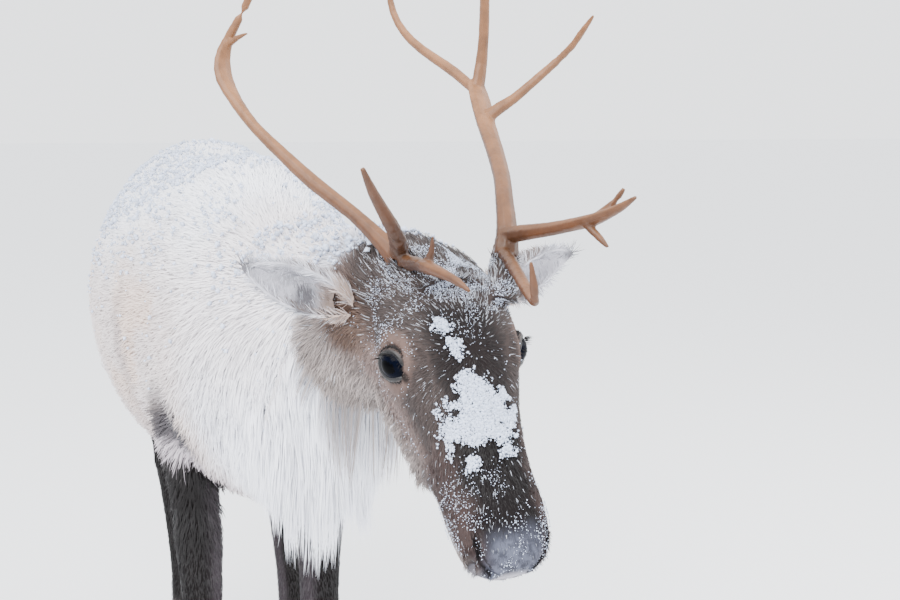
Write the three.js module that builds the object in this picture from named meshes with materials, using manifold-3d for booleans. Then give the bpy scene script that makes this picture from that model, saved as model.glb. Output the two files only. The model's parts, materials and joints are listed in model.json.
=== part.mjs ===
// A reindeer cow in winter coat at life size, standing square with its head held low and turned a
// little to its left. Millimetres, +Z up, nose towards -Y, the animal's left side towards +X.
import * as THREE from "three";
import { mergeVertices } from "three/addons/utils/BufferGeometryUtils.js";
import Module from "manifold-3d";

const wasm = await Module();
wasm.setup();

// Driving dimensions
const GAP = 0.3; // left between pieces that touch
const SMALLEST = 0.02; // slivers thinner than this are dropped
const TRUNK_SIDES = 24;
const TRUNK_STEP = 0.5; // rings of the trunk, in stations
const HEAD_SIDES = 24;
const LEG_SIDES = 12;
const LEG_STEP = 0.5;
const ANTLER_SIDES = 8;
const BIG = 4000; // side of the blocks that trim a piece along a plane

const ANTLER_ORIGIN = [115, -547, 936]; // between the roots of the antlers
const ANTLER_TURN = 10; // degrees to its left
const HEAD_ORIGIN = [104, -545, 938]; // under the front of the crown
const HEAD_TURN = 8.5; // degrees to its left
const HEAD_PITCH = 52; // degrees, nose down
const HEAD_ROLL = 4; // degrees, crown towards its right
const NAPE = { ahead: -62, z: -75, lean: 17 }; // plane where the head meets the neck

const EYE_RADIUS = 17;
const EYE = { side: 54, ahead: 87, z: -41 };
const EYE_FACING = [0.93, -0.33, 0.16]; // out, back, up
const LID_THICKNESS = 3.4;
const LID_OPENING = { length: 29, height: 22, tilt: -26 };

const BROW = { long: 34, high: 38, proud: 26, stand: 12.5 };

const EAR_LENGTH = 128;
const EAR_THICKNESS = 5;
const EAR_ROOT = { side: 64, ahead: 0, z: -84 };
const EAR_REACH = { left: [122, 14, 38], right: [117, 15, 46] }; // out, back, up

const PEDICLE_RADIUS = 15;

// Stations of the trunk, from the tail to the nape: the middle of the section, how far it rises and
// drops from its widest line, half its width, the slope of its axis and its turn to the left.
const TRUNK = [
  { name: "buttocks", x: 20, y: 912, z: 846, rise: 54, drop: 74, half: 56, pitch: 0, turn: 0 },
  { name: "pins", x: 19, y: 884, z: 850, rise: 106, drop: 128, half: 104, pitch: 0, turn: 0 },
  { name: "rump", x: 16, y: 812, z: 838, rise: 160, drop: 182, half: 148, pitch: 0, turn: 0 },
  { name: "croup", x: 12, y: 706, z: 816, rise: 216, drop: 212, half: 182, pitch: 0, turn: 0 },
  { name: "loin", x: 8, y: 566, z: 798, rise: 228, drop: 234, half: 206, pitch: 0, turn: 0 },
  { name: "belly", x: 4, y: 410, z: 783, rise: 228, drop: 250, half: 218, pitch: 0, turn: 0 },
  { name: "ribs", x: 0, y: 244, z: 775, rise: 228, drop: 246, half: 206, pitch: 0, turn: 0 },
  { name: "girth", x: 0, y: 96, z: 776, rise: 238, drop: 230, half: 180, pitch: 0, turn: 0 },
  { name: "withers", x: 0, y: -12, z: 780, rise: 240, drop: 218, half: 156, pitch: 0, turn: 1 },
  { name: "breast", x: 4, y: -112, z: 788, rise: 200, drop: 214, half: 138, pitch: -3, turn: 4 },
  { name: "neck_base", x: 14, y: -206, z: 802, rise: 153, drop: 186, half: 116, pitch: -2, turn: 8 },
  { name: "neck_middle", x: 34, y: -310, z: 828, rise: 118, drop: 148, half: 96, pitch: 2, turn: 12 },
  { name: "neck_upper", x: 62, y: -396, z: 862, rise: 98, drop: 116, half: 80, pitch: -6, turn: 14 },
  { name: "nape", x: 84, y: -466, z: 872, rise: 88, drop: 96, half: 70, pitch: -26, turn: 12 },
  { name: "poll", x: 100, y: -524, z: 858, rise: 76, drop: 80, half: 58, pitch: -34, turn: 10 },
];
const RUMP_END = 3.5;
const BARREL_END = 7;
const CHEST_END = 9.5;

// Stations of the head in its own frame, from inside the neck to the nose
const HEAD = [
  { ahead: -100, z: -130, rise: 34, drop: 32, half: 48, square: 2 },
  { ahead: -60, z: -104, rise: 38, drop: 60, half: 61, square: 2 },
  { ahead: -20, z: -78, rise: 47, drop: 92, half: 66, square: 2.1 },
  { ahead: 20, z: -56, rise: 50, drop: 108, half: 67, square: 2.2 },
  { ahead: 56, z: -45, rise: 46, drop: 126, half: 68, square: 2.2 },
  { ahead: 86, z: -41, rise: 41, drop: 130, half: 67, square: 2.2 },
  { ahead: 114, z: -46, rise: 40, drop: 124, half: 59, square: 2.1 },
  { ahead: 145, z: -53, rise: 43, drop: 106, half: 51, square: 2.1 },
  { ahead: 180, z: -58, rise: 42, drop: 82, half: 46, square: 2.2 },
  { ahead: 212, z: -60, rise: 40, drop: 60, half: 45, square: 2.3 },
  { ahead: 240, z: -60, rise: 38, drop: 46, half: 46, square: 2.4 },
  { ahead: 268, z: -60, rise: 34, drop: 38, half: 44, square: 2.4 },
  { ahead: 286, z: -61, rise: 27, drop: 29, half: 37, square: 2.3 },
  { ahead: 297, z: -62, rise: 14, drop: 16, half: 22, square: 2 },
];
const MOUTH = { corner: [212, -92], bend: [252, -88], lip: [308, -71], gap: 1.8 };
const NOSTRIL = { side: 33, ahead: 277, z: -60, wide: 6, long: 18, deep: 16 };

// Stations of the left legs: rise is forwards and drop is backwards
const FRONT_LEG = [
  { name: "shoulder", x: 78, y: -18, z: 812, rise: 66, drop: 72, half: 42, pitch: -90 },
  { name: "upper_arm", x: 102, y: -14, z: 724, rise: 82, drop: 84, half: 50, pitch: -90 },
  { name: "elbow", x: 94, y: 6, z: 640, rise: 62, drop: 70, half: 46, pitch: -90 },
  { name: "forearm_top", x: 88, y: 8, z: 575, rise: 47, drop: 50, half: 40, pitch: -91 },
  { name: "forearm", x: 84, y: 5, z: 480, rise: 37, drop: 39, half: 34, pitch: -91 },
  { name: "above_knee", x: 82, y: 0, z: 400, rise: 31, drop: 32, half: 30, pitch: -92 },
  { name: "knee", x: 81, y: -4, z: 350, rise: 33, drop: 32, half: 32, pitch: -90 },
  { name: "below_knee", x: 81, y: 0, z: 302, rise: 26, drop: 29, half: 27, pitch: -88 },
  { name: "cannon", x: 81, y: 2, z: 220, rise: 22, drop: 27, half: 24, pitch: -90 },
  { name: "above_fetlock", x: 81, y: 1, z: 156, rise: 25, drop: 30, half: 26, pitch: -88 },
  { name: "fetlock", x: 81, y: -3, z: 116, rise: 29, drop: 34, half: 30, pitch: -80 },
  { name: "pastern", x: 81, y: -14, z: 80, rise: 28, drop: 33, half: 32, pitch: -70 },
  { name: "coronet", x: 81, y: -26, z: 50, rise: 33, drop: 37, half: 38, pitch: -66 },
];
const HIND_LEG = [
  { name: "hip", x: 96, y: 716, z: 850, rise: 104, drop: 106, half: 52, pitch: -90 },
  { name: "thigh", x: 128, y: 704, z: 762, rise: 120, drop: 132, half: 62, pitch: -92 },
  { name: "stifle", x: 124, y: 690, z: 662, rise: 104, drop: 118, half: 56, pitch: -100 },
  { name: "shank_top", x: 114, y: 724, z: 574, rise: 72, drop: 76, half: 45, pitch: -112 },
  { name: "shank", x: 107, y: 770, z: 494, rise: 47, drop: 52, half: 36, pitch: -118 },
  { name: "above_hock", x: 103, y: 814, z: 432, rise: 34, drop: 42, half: 30, pitch: -112 },
  { name: "hock", x: 101, y: 834, z: 392, rise: 34, drop: 41, half: 33, pitch: -96 },
  { name: "below_hock", x: 101, y: 832, z: 342, rise: 29, drop: 33, half: 28, pitch: -84 },
  { name: "cannon", x: 101, y: 820, z: 240, rise: 25, drop: 29, half: 25, pitch: -84 },
  { name: "above_fetlock", x: 101, y: 809, z: 160, rise: 27, drop: 31, half: 27, pitch: -82 },
  { name: "fetlock", x: 101, y: 800, z: 118, rise: 31, drop: 36, half: 31, pitch: -76 },
  { name: "pastern", x: 101, y: 788, z: 80, rise: 29, drop: 34, half: 33, pitch: -68 },
  { name: "coronet", x: 101, y: 776, z: 50, rise: 34, drop: 38, half: 39, pitch: -64 },
];
// How far each hoof stands from its place in the table: to the animal's left and back
const FOOT_SHIFT = {
  left_front: [0, 0], right_front: [0, 0], left_hind: [58, -166], right_hind: [66, -16],
};
const FRONT_CUTS = { elbow: 2.4, knee: 6, fetlock: 10 };
const HIND_CUTS = { stifle: 2.5, hock: 6, fetlock: 10 };

// One claw of a hoof, from the heel to the tip: its middle out from the cleft, half width, height
const CLAW = [
  { ahead: -42, out: 17, half: 9, high: 20 },
  { ahead: -32, out: 20, half: 15, high: 38 },
  { ahead: -8, out: 23, half: 19, high: 60 },
  { ahead: 20, out: 25, half: 20, high: 58 },
  { ahead: 44, out: 23, half: 17, high: 36 },
  { ahead: 60, out: 18, half: 11, high: 17 },
  { ahead: 68, out: 13, half: 4, high: 6 },
];
const CLAW_SECTION = [
  [-1, 0], [1, 0], [1.04, 0.28], [0.86, 0.66], [0.42, 0.97], [-0.3, 1], [-0.8, 0.72], [-1, 0.3],
]; // out, up, from the sole round the top
const DEWCLAW = { length: 40, radius: 12, side: 17, behind: 24, z: 58 };

// Antlers, level with the ground and turned with the head: left, back, up, half width, half thickness
const RIGHT_BEAM = [
  [-42, 22, -14, 15, 15], [-46, 28, 0, 14.5, 14.5], [-55, 44, 14, 10, 10], [-70, 84, 40, 7.6, 7.6],
  [-92, 135, 69, 8.6, 8], [-112, 170, 97, 7.4, 7], [-130, 205, 125, 6.6, 6.2],
  [-141, 229, 150, 8, 6.4], [-148, 247, 174, 12, 6.4], [-148, 254, 195, 10.4, 5.6],
  [-143, 251, 214, 6.4, 5], [-137, 244, 229, 5, 4.6], [-129, 232, 249, 4.4, 4.2],
  [-120, 198, 287, 3.8, 3.6], [-116, 160, 318, 1.6, 1.6],
];
const RIGHT_CUTS = { middle: 4, palm: 7, top: 10 };
const RIGHT_SPUR = [[-143, 251, 210, 4, 3.4], [-138, 234, 217, 3.2, 3], [-133, 213, 221, 1.4, 1.4]];
const RIGHT_TOP_TINE = [
  [-126, 222, 262, 4, 3.6], [-128, 232, 286, 3.6, 3.4], [-124, 238, 316, 1.5, 1.5],
];
const RIGHT_BEZ = [
  [-48, 26, 2, 10, 9], [-60, 2, 22, 9.4, 8.4], [-80, -14, 47, 7, 6.4], [-98, -28, 68, 5.6, 5],
  [-112, -38, 90, 2.6, 2.6],
];
const RIGHT_BROW = [
  [-46, 20, -2, 10, 8], [-46, -12, -1, 11, 6.6], [-50, -46, -1, 10.4, 6], [-49, -76, -4, 5.4, 4.8],
  [-46, -96, -9, 4, 3.8], [-43, -110, -15, 1.8, 1.8],
];
const RIGHT_BROW_SPUR = [[-48, -38, 0, 6, 5], [-47, -43, 14, 3.8, 3.4], [-47, -46, 28, 1.4, 1.4]];
const LEFT_BEAM = [
  [48, -6, -14, 15, 15], [52, -4, 0, 14, 14], [58, 3, 24, 11.4, 10], [70, 30, 53, 9.8, 9],
  [87, 66, 75, 9.6, 8.6], [106, 117, 103, 11, 8.2], [119, 158, 127, 13, 7.6],
  [134, 199, 153, 15, 7], [144, 229, 173, 12, 6.6],
];
const LEFT_CUTS = { upper: 4 };
const LEFT_BACK_TINE = [
  [140, 216, 163, 8, 6], [130, 258, 188, 7.6, 6.4], [119, 292, 206, 6.6, 6],
  [108, 325, 226, 5.8, 5.4], [101, 350, 249, 5, 4.8], [96, 360, 275, 4.4, 4.2],
  [93, 354, 303, 3.6, 3.4], [94, 338, 330, 1.6, 1.6],
];
const LEFT_TOP = [
  [140, 218, 166, 9, 6.4], [147, 222, 196, 7.8, 6.6], [147, 216, 229, 6.8, 6.2],
  [143, 207, 262, 6.4, 5.8], [134, 188, 303, 5.2, 4.8], [123, 160, 340, 3.6, 3.4],
  [112, 124, 366, 1.6, 1.6],
];
const LEFT_OUTER_TINE = [
  [122, 168, 133, 9, 6.4], [140, 164, 146, 7.4, 6.2], [156, 161, 156, 6, 5.4],
  [178, 155, 175, 5.4, 5], [198, 144, 195, 5, 4.6], [209, 128, 212, 4.4, 4.2],
  [213, 111, 229, 3.6, 3.4], [214, 93, 243, 1.8, 1.8],
];
const LEFT_BEZ = [
  [56, 2, 20, 10, 9], [62, -30, 26, 8.8, 8], [69, -60, 31, 7.8, 7], [76, -88, 37, 8.6, 6.4],
  [81, -109, 42, 10.4, 5.4], [86, -128, 49, 6.6, 4.6], [90, -146, 57, 4.4, 3.8],
  [94, -161, 66, 1.8, 1.8],
];
const LEFT_BEZ_PRONGS = [
  [[82, -112, 44, 5, 4], [92, -128, 58, 4.2, 3.6], [97, -138, 72, 2, 2]],
  [[79, -106, 38, 5, 4], [84, -120, 27, 3.8, 3.4], [87, -129, 19, 1.8, 1.8]],
];
const LEFT_BROW = [
  [50, 0, 6, 8, 7.4], [44, -24, 1, 7, 6.6], [33, -64, -11, 6.4, 6], [22, -98, -20, 6, 5.6],
  [13, -124, -25, 5, 4.8], [7, -136, -22, 4.4, 4], [3, -141, -8, 4.2, 4], [-2, -144, 12, 1.8, 1.8],
];
const TINE_STEP = 0.5;

// The long hair under the neck and breast, hanging in overlapping locks
const MANE = {
  rows: 8, // along the trunk
  from: 13,
  to: 9.2, // stations of the trunk, from the throat to the breast
  spread: 70, // degrees to each side of the lowest line
  across: 7,
  crest: 0.38, // where the locks are longest, as a share of the rows
  reach: 0.22, // how far from there they stay long
  shortest: 44,
  longest: 235,
  width: 36,
  thickness: 9,
};
const TAIL = [
  { x: 19, y: 880, z: 936, rise: 16, drop: 20, half: 26, pitch: 160 },
  { x: 20, y: 914, z: 922, rise: 16, drop: 20, half: 30, pitch: 205 },
  { x: 21, y: 934, z: 876, rise: 14, drop: 20, half: 31, pitch: 250 },
  { x: 21, y: 940, z: 824, rise: 11, drop: 16, half: 25, pitch: 268 },
  { x: 21, y: 938, z: 784, rise: 7, drop: 9, half: 13, pitch: 272 },
];

const COLOURS = {
  coat: 0xd8d0c6, mane: 0xe6e4e4, face: 0x5a4c44, leg: 0x3a302c, ear: 0xb4b0b0,
  eye: 0x10161f, antler: 0xa8714a, claw: 0x26201d,
};

const radians = THREE.MathUtils.degToRad;

// A seeded draw from 0 to 1, so that every build is the same
function draws(seed) {
  let state = seed;
  return () => {
    state = (state * 1664525 + 1013904223) % 4294967296;
    return state / 4294967296;
  };
}

// A table of stations read at a place between its rows, along a smooth curve through them
function between(rows, place) {
  const i = Math.min(Math.max(Math.floor(place), 0), rows.length - 2);
  const u = place - i;
  const read = (row, key) => {
    if (row < 0) return 2 * rows[0][key] - rows[1][key];
    if (row >= rows.length) return 2 * rows[rows.length - 1][key] - rows[rows.length - 2][key];
    return rows[row][key];
  };
  const made = Array.isArray(rows[0]) ? [] : {};
  for (const key of Object.keys(rows[0])) {
    if (typeof rows[0][key] !== "number") continue;
    const [a, b, c, d] = [i - 1, i, i + 1, i + 2].map((row) => read(row, key));
    const slopes = [(c - a) / 2, (d - b) / 2];
    const u2 = u * u;
    const u3 = u2 * u;
    made[key] = b * (2 * u3 - 3 * u2 + 1) + c * (3 * u2 - 2 * u3)
      + slopes[0] * (u3 - 2 * u2 + u) + slopes[1] * (u3 - u2);
  }
  return made;
}

// Places from one end of a table's stretch to the other, evenly spaced
function places(from, to, step) {
  const count = Math.max(1, Math.round(Math.abs(to - from) / step));
  return Array.from({ length: count + 1 }, (_, i) => from + ((to - from) * i) / count);
}

// The forward, sideways and upward directions of a section
function axesOf({ pitch = 0, turn = 0 }) {
  const [p, t] = [radians(pitch), radians(turn)];
  const forward = new THREE.Vector3(Math.sin(t) * Math.cos(p), -Math.cos(t) * Math.cos(p), Math.sin(p));
  const side = new THREE.Vector3(Math.cos(t), Math.sin(t), 0);
  return { forward, side, up: forward.clone().cross(side) };
}

// The point of a section at an angle from its side, on a rounded oval
function pointOn(station, angle, grow = 0) {
  const { side, up } = axesOf(station);
  const power = 2 / (station.square ?? 2);
  const bend = (v) => Math.sign(v) * Math.abs(v) ** power;
  const height = (Math.sin(angle) > 0 ? station.rise : station.drop) + grow;
  return new THREE.Vector3(station.x, station.y, station.z)
    .addScaledVector(side, (station.half + grow) * bend(Math.cos(angle)))
    .addScaledVector(up, height * bend(Math.sin(angle)));
}

function ringOf(station, sides, grow = 0) {
  return Array.from({ length: sides }, (_, i) => pointOn(station, (2 * Math.PI * i) / sides, grow));
}

// A closed skin over rings of points, capped at both ends, with its faces pointing out
function loft(rings) {
  const sides = rings[0].length;
  const points = rings.flat();
  const faces = [];
  const quad = (a, b, c, d) => faces.push([a, b, c], [a, c, d]);
  for (let row = 0; row < rings.length - 1; row += 1) {
    for (let i = 0; i < sides; i += 1) {
      const [a, b] = [row * sides + i, row * sides + ((i + 1) % sides)];
      quad(a, b, b + sides, a + sides);
    }
  }
  const cap = (ring, start, flip) => {
    const middle = ring.reduce((sum, p) => sum.add(p), new THREE.Vector3()).divideScalar(sides);
    const at = points.push(middle) - 1;
    for (let i = 0; i < sides; i += 1) {
      const [a, b] = [start + i, start + ((i + 1) % sides)];
      faces.push(flip ? [a, at, b] : [a, b, at]);
    }
  };
  cap(rings[0], 0, true);
  cap(rings[rings.length - 1], (rings.length - 1) * sides, false);
  return facingOut(points, faces);
}

// A geometry of these faces, all turned round if they point inwards
function facingOut(points, faces) {
  const volume = faces.reduce(
    (sum, [a, b, c]) => sum + points[a].dot(points[b].clone().cross(points[c])),
    0,
  );
  const index = volume > 0 ? faces.flat() : faces.map(([a, b, c]) => [a, c, b]).flat();
  return new THREE.BufferGeometry().setFromPoints(points).setIndex(index);
}

function solidOf(geometry) {
  const bare = geometry.clone();
  bare.deleteAttribute("normal");
  bare.deleteAttribute("uv");
  const merged = mergeVertices(bare, 1e-4);
  return new wasm.Manifold(
    new wasm.Mesh({
      numProp: 3,
      vertProperties: merged.attributes.position.array,
      triVerts: new Uint32Array(merged.index.array),
    }),
  );
}

function geometryOf(solid) {
  const mesh = solid.simplify(SMALLEST).getMesh();
  return new THREE.BufferGeometry()
    .setAttribute("position", new THREE.BufferAttribute(mesh.vertProperties.slice(), 3))
    .setIndex(new THREE.BufferAttribute(mesh.triVerts.slice(), 1));
}

const unite = (solids) => solids.reduce((sum, solid) => sum.add(solid));

// The largest closed body of a solid
function largestOf(solid) {
  return solid.decompose().reduce((best, body) => (body.volume() > best.volume() ? body : best));
}

// A block that fills the side of a plane that its normal points to, a little off the plane
function sideOf(point, normal, off = 0) {
  const direction = normal.clone().normalize();
  const turn = new THREE.Quaternion().setFromUnitVectors(new THREE.Vector3(0, 0, 1), direction);
  const middle = point.clone().addScaledVector(direction, BIG / 2 + off);
  const block = new THREE.BoxGeometry(BIG, BIG, BIG);
  block.applyMatrix4(new THREE.Matrix4().compose(middle, turn, new THREE.Vector3(1, 1, 1)));
  return solidOf(block);
}

// Part of a table's length as a solid, ending half a gap short of the places where it is cut
function stretch(rows, from, to, { sides, step, grow = 0, cutStart = true, cutEnd = true }) {
  const rings = places(from, to, step).map((place, i, all) => {
    const station = between(rows, place);
    const { forward } = axesOf(station);
    let short = 0;
    if (i === 0) short = cutStart ? GAP / 2 : -grow;
    if (i === all.length - 1) short = cutEnd ? -GAP / 2 : grow;
    const ring = ringOf(station, sides, grow);
    ring.forEach((point) => point.addScaledVector(forward, short));
    return ring;
  });
  return solidOf(loft(rings));
}

const mirrored = (rows) => rows.map((row) => ({ ...row, x: -row.x, turn: -(row.turn ?? 0) }));

// A leg leant from its top so that its foot stands this far over
function leant(rows, [left, back]) {
  const [top, foot] = [rows[0].z, rows[rows.length - 1].z];
  return rows.map((row) => {
    const share = Math.min(1, (top - row.z) / (top - foot));
    return { ...row, x: row.x + left * share, y: row.y + back * share };
  });
}

// Trunk
const trunkOptions = { sides: TRUNK_SIDES, step: TRUNK_STEP };
const lastTrunk = TRUNK.length - 1;
const trunkGrown = stretch(TRUNK, 0, lastTrunk, {
  ...trunkOptions, grow: GAP, cutStart: false, cutEnd: false,
});

// Frames of the head: tipped with it, and level with the ground but turned with it
const headFrame = new THREE.Group();
headFrame.position.set(...HEAD_ORIGIN);
headFrame.rotation.set(radians(HEAD_PITCH), -radians(HEAD_ROLL), radians(HEAD_TURN), "ZXY");
headFrame.updateMatrix();
const levelFrame = new THREE.Group();
levelFrame.position.set(...ANTLER_ORIGIN);
levelFrame.rotation.z = radians(ANTLER_TURN);
levelFrame.updateMatrix();
const levelToHead = headFrame.matrix.clone().invert().multiply(levelFrame.matrix);

// The same solid seen from another frame
function moved(solid, matrix) {
  const geometry = geometryOf(solid);
  geometry.applyMatrix4(matrix);
  return solidOf(geometry);
}

// Head
const headStations = HEAD.map(({ ahead, ...sizes }) => ({ x: 0, y: -ahead, ...sizes }));
const napePoint = new THREE.Vector3(0, -NAPE.ahead, NAPE.z);
const napeNormal = new THREE.Vector3(0, -Math.cos(radians(NAPE.lean)), Math.sin(radians(NAPE.lean)));

function headBlank(grow = 0) {
  const options = { sides: HEAD_SIDES, step: 0.5, grow, cutStart: false, cutEnd: false };
  return stretch(headStations, 0, headStations.length - 1, options);
}

function neckBlank(grow = 0) {
  return stretch(TRUNK, CHEST_END, lastTrunk, { ...trunkOptions, grow, cutStart: !grow, cutEnd: false });
}

// The head and neck in one, in the head's frame, on the head's side of the nape
function headWithNape(grow = 0) {
  const nape = moved(neckBlank(grow), headFrame.matrix.clone().invert());
  const side = sideOf(napePoint, napeNormal, grow ? -GAP / 2 : GAP / 2);
  return headBlank(grow).add(nape).intersect(side);
}

function ball(radius, at) {
  const sphere = new THREE.SphereGeometry(radius, 16, 11);
  sphere.rotateX(Math.PI / 2);
  sphere.translate(at.x, at.y, at.z);
  return solidOf(sphere);
}

// Turns a shape that faces +Z to face a direction, with its own X kept as level as it can be
function facing(geometry, at, direction, spin = 0) {
  const z = direction.clone().normalize();
  const x = new THREE.Vector3(0, 0, 1).cross(z).normalize();
  const basis = new THREE.Matrix4().makeBasis(x, z.clone().cross(x), z);
  geometry.rotateZ(radians(spin));
  return geometry.applyMatrix4(basis).translate(at.x, at.y, at.z);
}

const eyeAt = (side) => new THREE.Vector3(side * EYE.side, -EYE.ahead, EYE.z);
const eyeFacing = (side) => new THREE.Vector3(side * EYE_FACING[0], EYE_FACING[1], EYE_FACING[2]);

// The almond opening between the lids, from the middle of the eye outwards
function lidOpening(side) {
  const { length, height, tilt } = LID_OPENING;
  const almond = new THREE.Shape();
  almond.moveTo(-length / 2, 0);
  almond.quadraticCurveTo(-length * 0.12, height * 0.98, length / 2, 0);
  almond.quadraticCurveTo(-length * 0.02, -height * 0.98, -length / 2, 0);
  const opening = new THREE.ExtrudeGeometry(almond, { depth: 60, bevelEnabled: false, curveSegments: 8 });
  return solidOf(facing(opening, eyeAt(side), eyeFacing(side), side * tilt));
}

// The ridge of the eye socket, which the lids lie in
function brow(side) {
  const ridge = new THREE.SphereGeometry(1, 16, 10);
  ridge.scale(BROW.high, BROW.long, BROW.proud);
  const out = new THREE.Vector3(side, 0, 0);
  const at = eyeAt(side).addScaledVector(out, -BROW.proud + BROW.stand);
  return solidOf(facing(ridge, at, new THREE.Vector3(side, -0.12, 0.1)));
}

// A comma-shaped pit on each side of the nose
function nostril(side) {
  const { wide, long, deep } = NOSTRIL;
  const pit = new THREE.SphereGeometry(1, 12, 8);
  pit.scale(wide, long, deep);
  const at = new THREE.Vector3(side * NOSTRIL.side, -NOSTRIL.ahead, NOSTRIL.z);
  return solidOf(facing(pit, at, new THREE.Vector3(side * 0.75, -0.62, 0.1), side * -24));
}

// The thin gap between the lips, right across the muzzle from the corners of the mouth
function mouth() {
  const { corner, bend, lip, gap } = MOUTH;
  const line = new THREE.Shape();
  line.moveTo(corner[0], corner[1]);
  line.quadraticCurveTo(bend[0], bend[1] + gap / 2, lip[0], lip[1] + gap / 2);
  line.lineTo(lip[0], lip[1] - gap / 2);
  line.quadraticCurveTo(bend[0], bend[1] - gap / 2, corner[0], corner[1]);
  const width = 140;
  const slot = new THREE.ExtrudeGeometry(line, { depth: width, bevelEnabled: false, curveSegments: 6 });
  // The drawing's X runs ahead and its Y up: turned so that they are -Y and Z of the head
  slot.translate(0, 0, -width / 2);
  slot.applyMatrix4(new THREE.Matrix4().set(0, 0, -1, 0, -1, 0, 0, 0, 0, 1, 0, 0, 0, 0, 0, 1));
  return solidOf(slot);
}

// The direction in which a branch runs at a place
function courseOf(rows, place) {
  const at = (where) => new THREE.Vector3(...between(rows, where));
  const last = rows.length - 1;
  return at(Math.min(place + 0.05, last)).sub(at(Math.max(place - 0.05, 0))).normalize();
}

// Antlers: a tapered branch with an oval section, its broad way set square to a given face
function branch(rows, from, to, { grow = 0, face = [0.3, -0.5, 0.8], cutStart = false, cutEnd = false } = {}) {
  const normal = new THREE.Vector3(...face).normalize();
  const rings = places(from, to, TINE_STEP).map((place, i, all) => {
    const row = between(rows, place);
    const ahead = courseOf(rows, place);
    const broad = ahead.clone().cross(normal).normalize();
    const thin = broad.clone().cross(ahead);
    const short = i === 0 && cutStart ? GAP / 2 : i === all.length - 1 && cutEnd ? -GAP / 2 : 0;
    return Array.from({ length: ANTLER_SIDES }, (_, k) => {
      const angle = (2 * Math.PI * k) / ANTLER_SIDES;
      return new THREE.Vector3(row[0], row[1], row[2])
        .addScaledVector(broad, (row[3] + grow) * Math.cos(angle))
        .addScaledVector(thin, (row[4] + grow) * Math.sin(angle))
        .addScaledVector(ahead, short);
    });
  });
  return solidOf(loft(rings));
}

const whole = (rows, options) => branch(rows, 0, rows.length - 1, options);
const BURR_PLACE = 1;

// The bony stump that carries an antler, in the head's frame, flat where the antler sits on it
function pedicle(beam) {
  const burr = between(beam, BURR_PLACE);
  const top = new THREE.Vector3(burr[0], burr[1], burr[2]).applyMatrix4(levelToHead);
  const along = courseOf(beam, BURR_PLACE).transformDirection(levelToHead);
  const stump = new THREE.CylinderGeometry(PEDICLE_RADIUS, PEDICLE_RADIUS + 4, 44, 14);
  stump.rotateX(Math.PI / 2);
  const middle = top.clone().addScaledVector(along, -22 - GAP);
  const turn = new THREE.Quaternion().setFromUnitVectors(new THREE.Vector3(0, 0, 1), along);
  stump.applyMatrix4(new THREE.Matrix4().compose(middle, turn, new THREE.Vector3(1, 1, 1)));
  return solidOf(stump);
}

// Ears: a leaf rolled into a cup, open towards the front
function earFrame(side) {
  const reach = side > 0 ? EAR_REACH.left : EAR_REACH.right;
  const out = new THREE.Vector3(side * reach[0], reach[1], reach[2]);
  const root = new THREE.Vector3(side * EAR_ROOT.side, -EAR_ROOT.ahead, EAR_ROOT.z);
  const turn = new THREE.Matrix4().extractRotation(levelToHead);
  const along = out.applyMatrix4(turn).normalize();
  const open = new THREE.Vector3(side * 0.12, -0.88, -0.36).applyMatrix4(turn);
  open.addScaledVector(along, -open.dot(along)).normalize();
  return { root, along, open, across: along.clone().cross(open) };
}

// Rows of an ear from its root: how far along, radius of the roll, and half its arc in degrees
const EAR = [
  { along: 0, radius: 15, arc: 178, lift: 0 },
  { along: 0.12, radius: 18, arc: 165, lift: 1 },
  { along: 0.28, radius: 22, arc: 128, lift: 3 },
  { along: 0.46, radius: 24.5, arc: 104, lift: 5 },
  { along: 0.64, radius: 23, arc: 90, lift: 6 },
  { along: 0.8, radius: 17.5, arc: 80, lift: 6 },
  { along: 0.92, radius: 10.5, arc: 72, lift: 5 },
  { along: 1, radius: 3.4, arc: 60, lift: 4 },
];

function ear(side) {
  const { root, along, open, across } = earFrame(side);
  const steps = 10;
  const rings = places(0, EAR.length - 1, 0.5).map((place) => {
    const row = between(EAR, place);
    const thick = Math.min(EAR_THICKNESS, row.radius * 0.9);
    const arc = (radius, k) => {
      const angle = radians(row.arc) * ((2 * k) / steps - 1);
      return root.clone()
        .addScaledVector(along, row.along * EAR_LENGTH)
        .addScaledVector(across, radius * Math.sin(angle))
        .addScaledVector(open, row.lift - radius * Math.cos(angle));
    };
    const outer = Array.from({ length: steps + 1 }, (_, k) => arc(row.radius, k));
    const inner = Array.from({ length: steps + 1 }, (_, k) => arc(row.radius - thick, steps - k));
    return [...outer, ...inner];
  });
  return solidOf(cShapedLoft(rings, steps + 1));
}

// A loft whose sections are two facing arcs of points, so its ends are capped from arc to arc
function cShapedLoft(rings, arcPoints) {
  const sides = rings[0].length;
  const points = rings.flat();
  const faces = [];
  const quad = (a, b, c, d) => faces.push([a, b, c], [a, c, d]);
  for (let row = 0; row < rings.length - 1; row += 1) {
    for (let i = 0; i < sides; i += 1) {
      const [a, b] = [row * sides + i, row * sides + ((i + 1) % sides)];
      quad(a, b, b + sides, a + sides);
    }
  }
  const last = (rings.length - 1) * sides;
  for (let i = 0; i < arcPoints - 1; i += 1) {
    const facingI = sides - 1 - i;
    quad(i, facingI, facingI - 1, i + 1);
    quad(last + i, last + i + 1, last + facingI - 1, last + facingI);
  }
  return facingOut(points, faces);
}

// The stump of gristle and hair that an ear stands on, flat where the ear sits
function earRoot(side) {
  const { root, along } = earFrame(side);
  const stump = new THREE.CylinderGeometry(EAR[0].radius, 24, 44, 16);
  stump.rotateX(Math.PI / 2);
  const turn = new THREE.Quaternion().setFromUnitVectors(new THREE.Vector3(0, 0, 1), along);
  const middle = root.clone().addScaledVector(along, -22 - GAP);
  stump.applyMatrix4(new THREE.Matrix4().compose(middle, turn, new THREE.Vector3(1, 1, 1)));
  return solidOf(stump);
}

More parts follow.
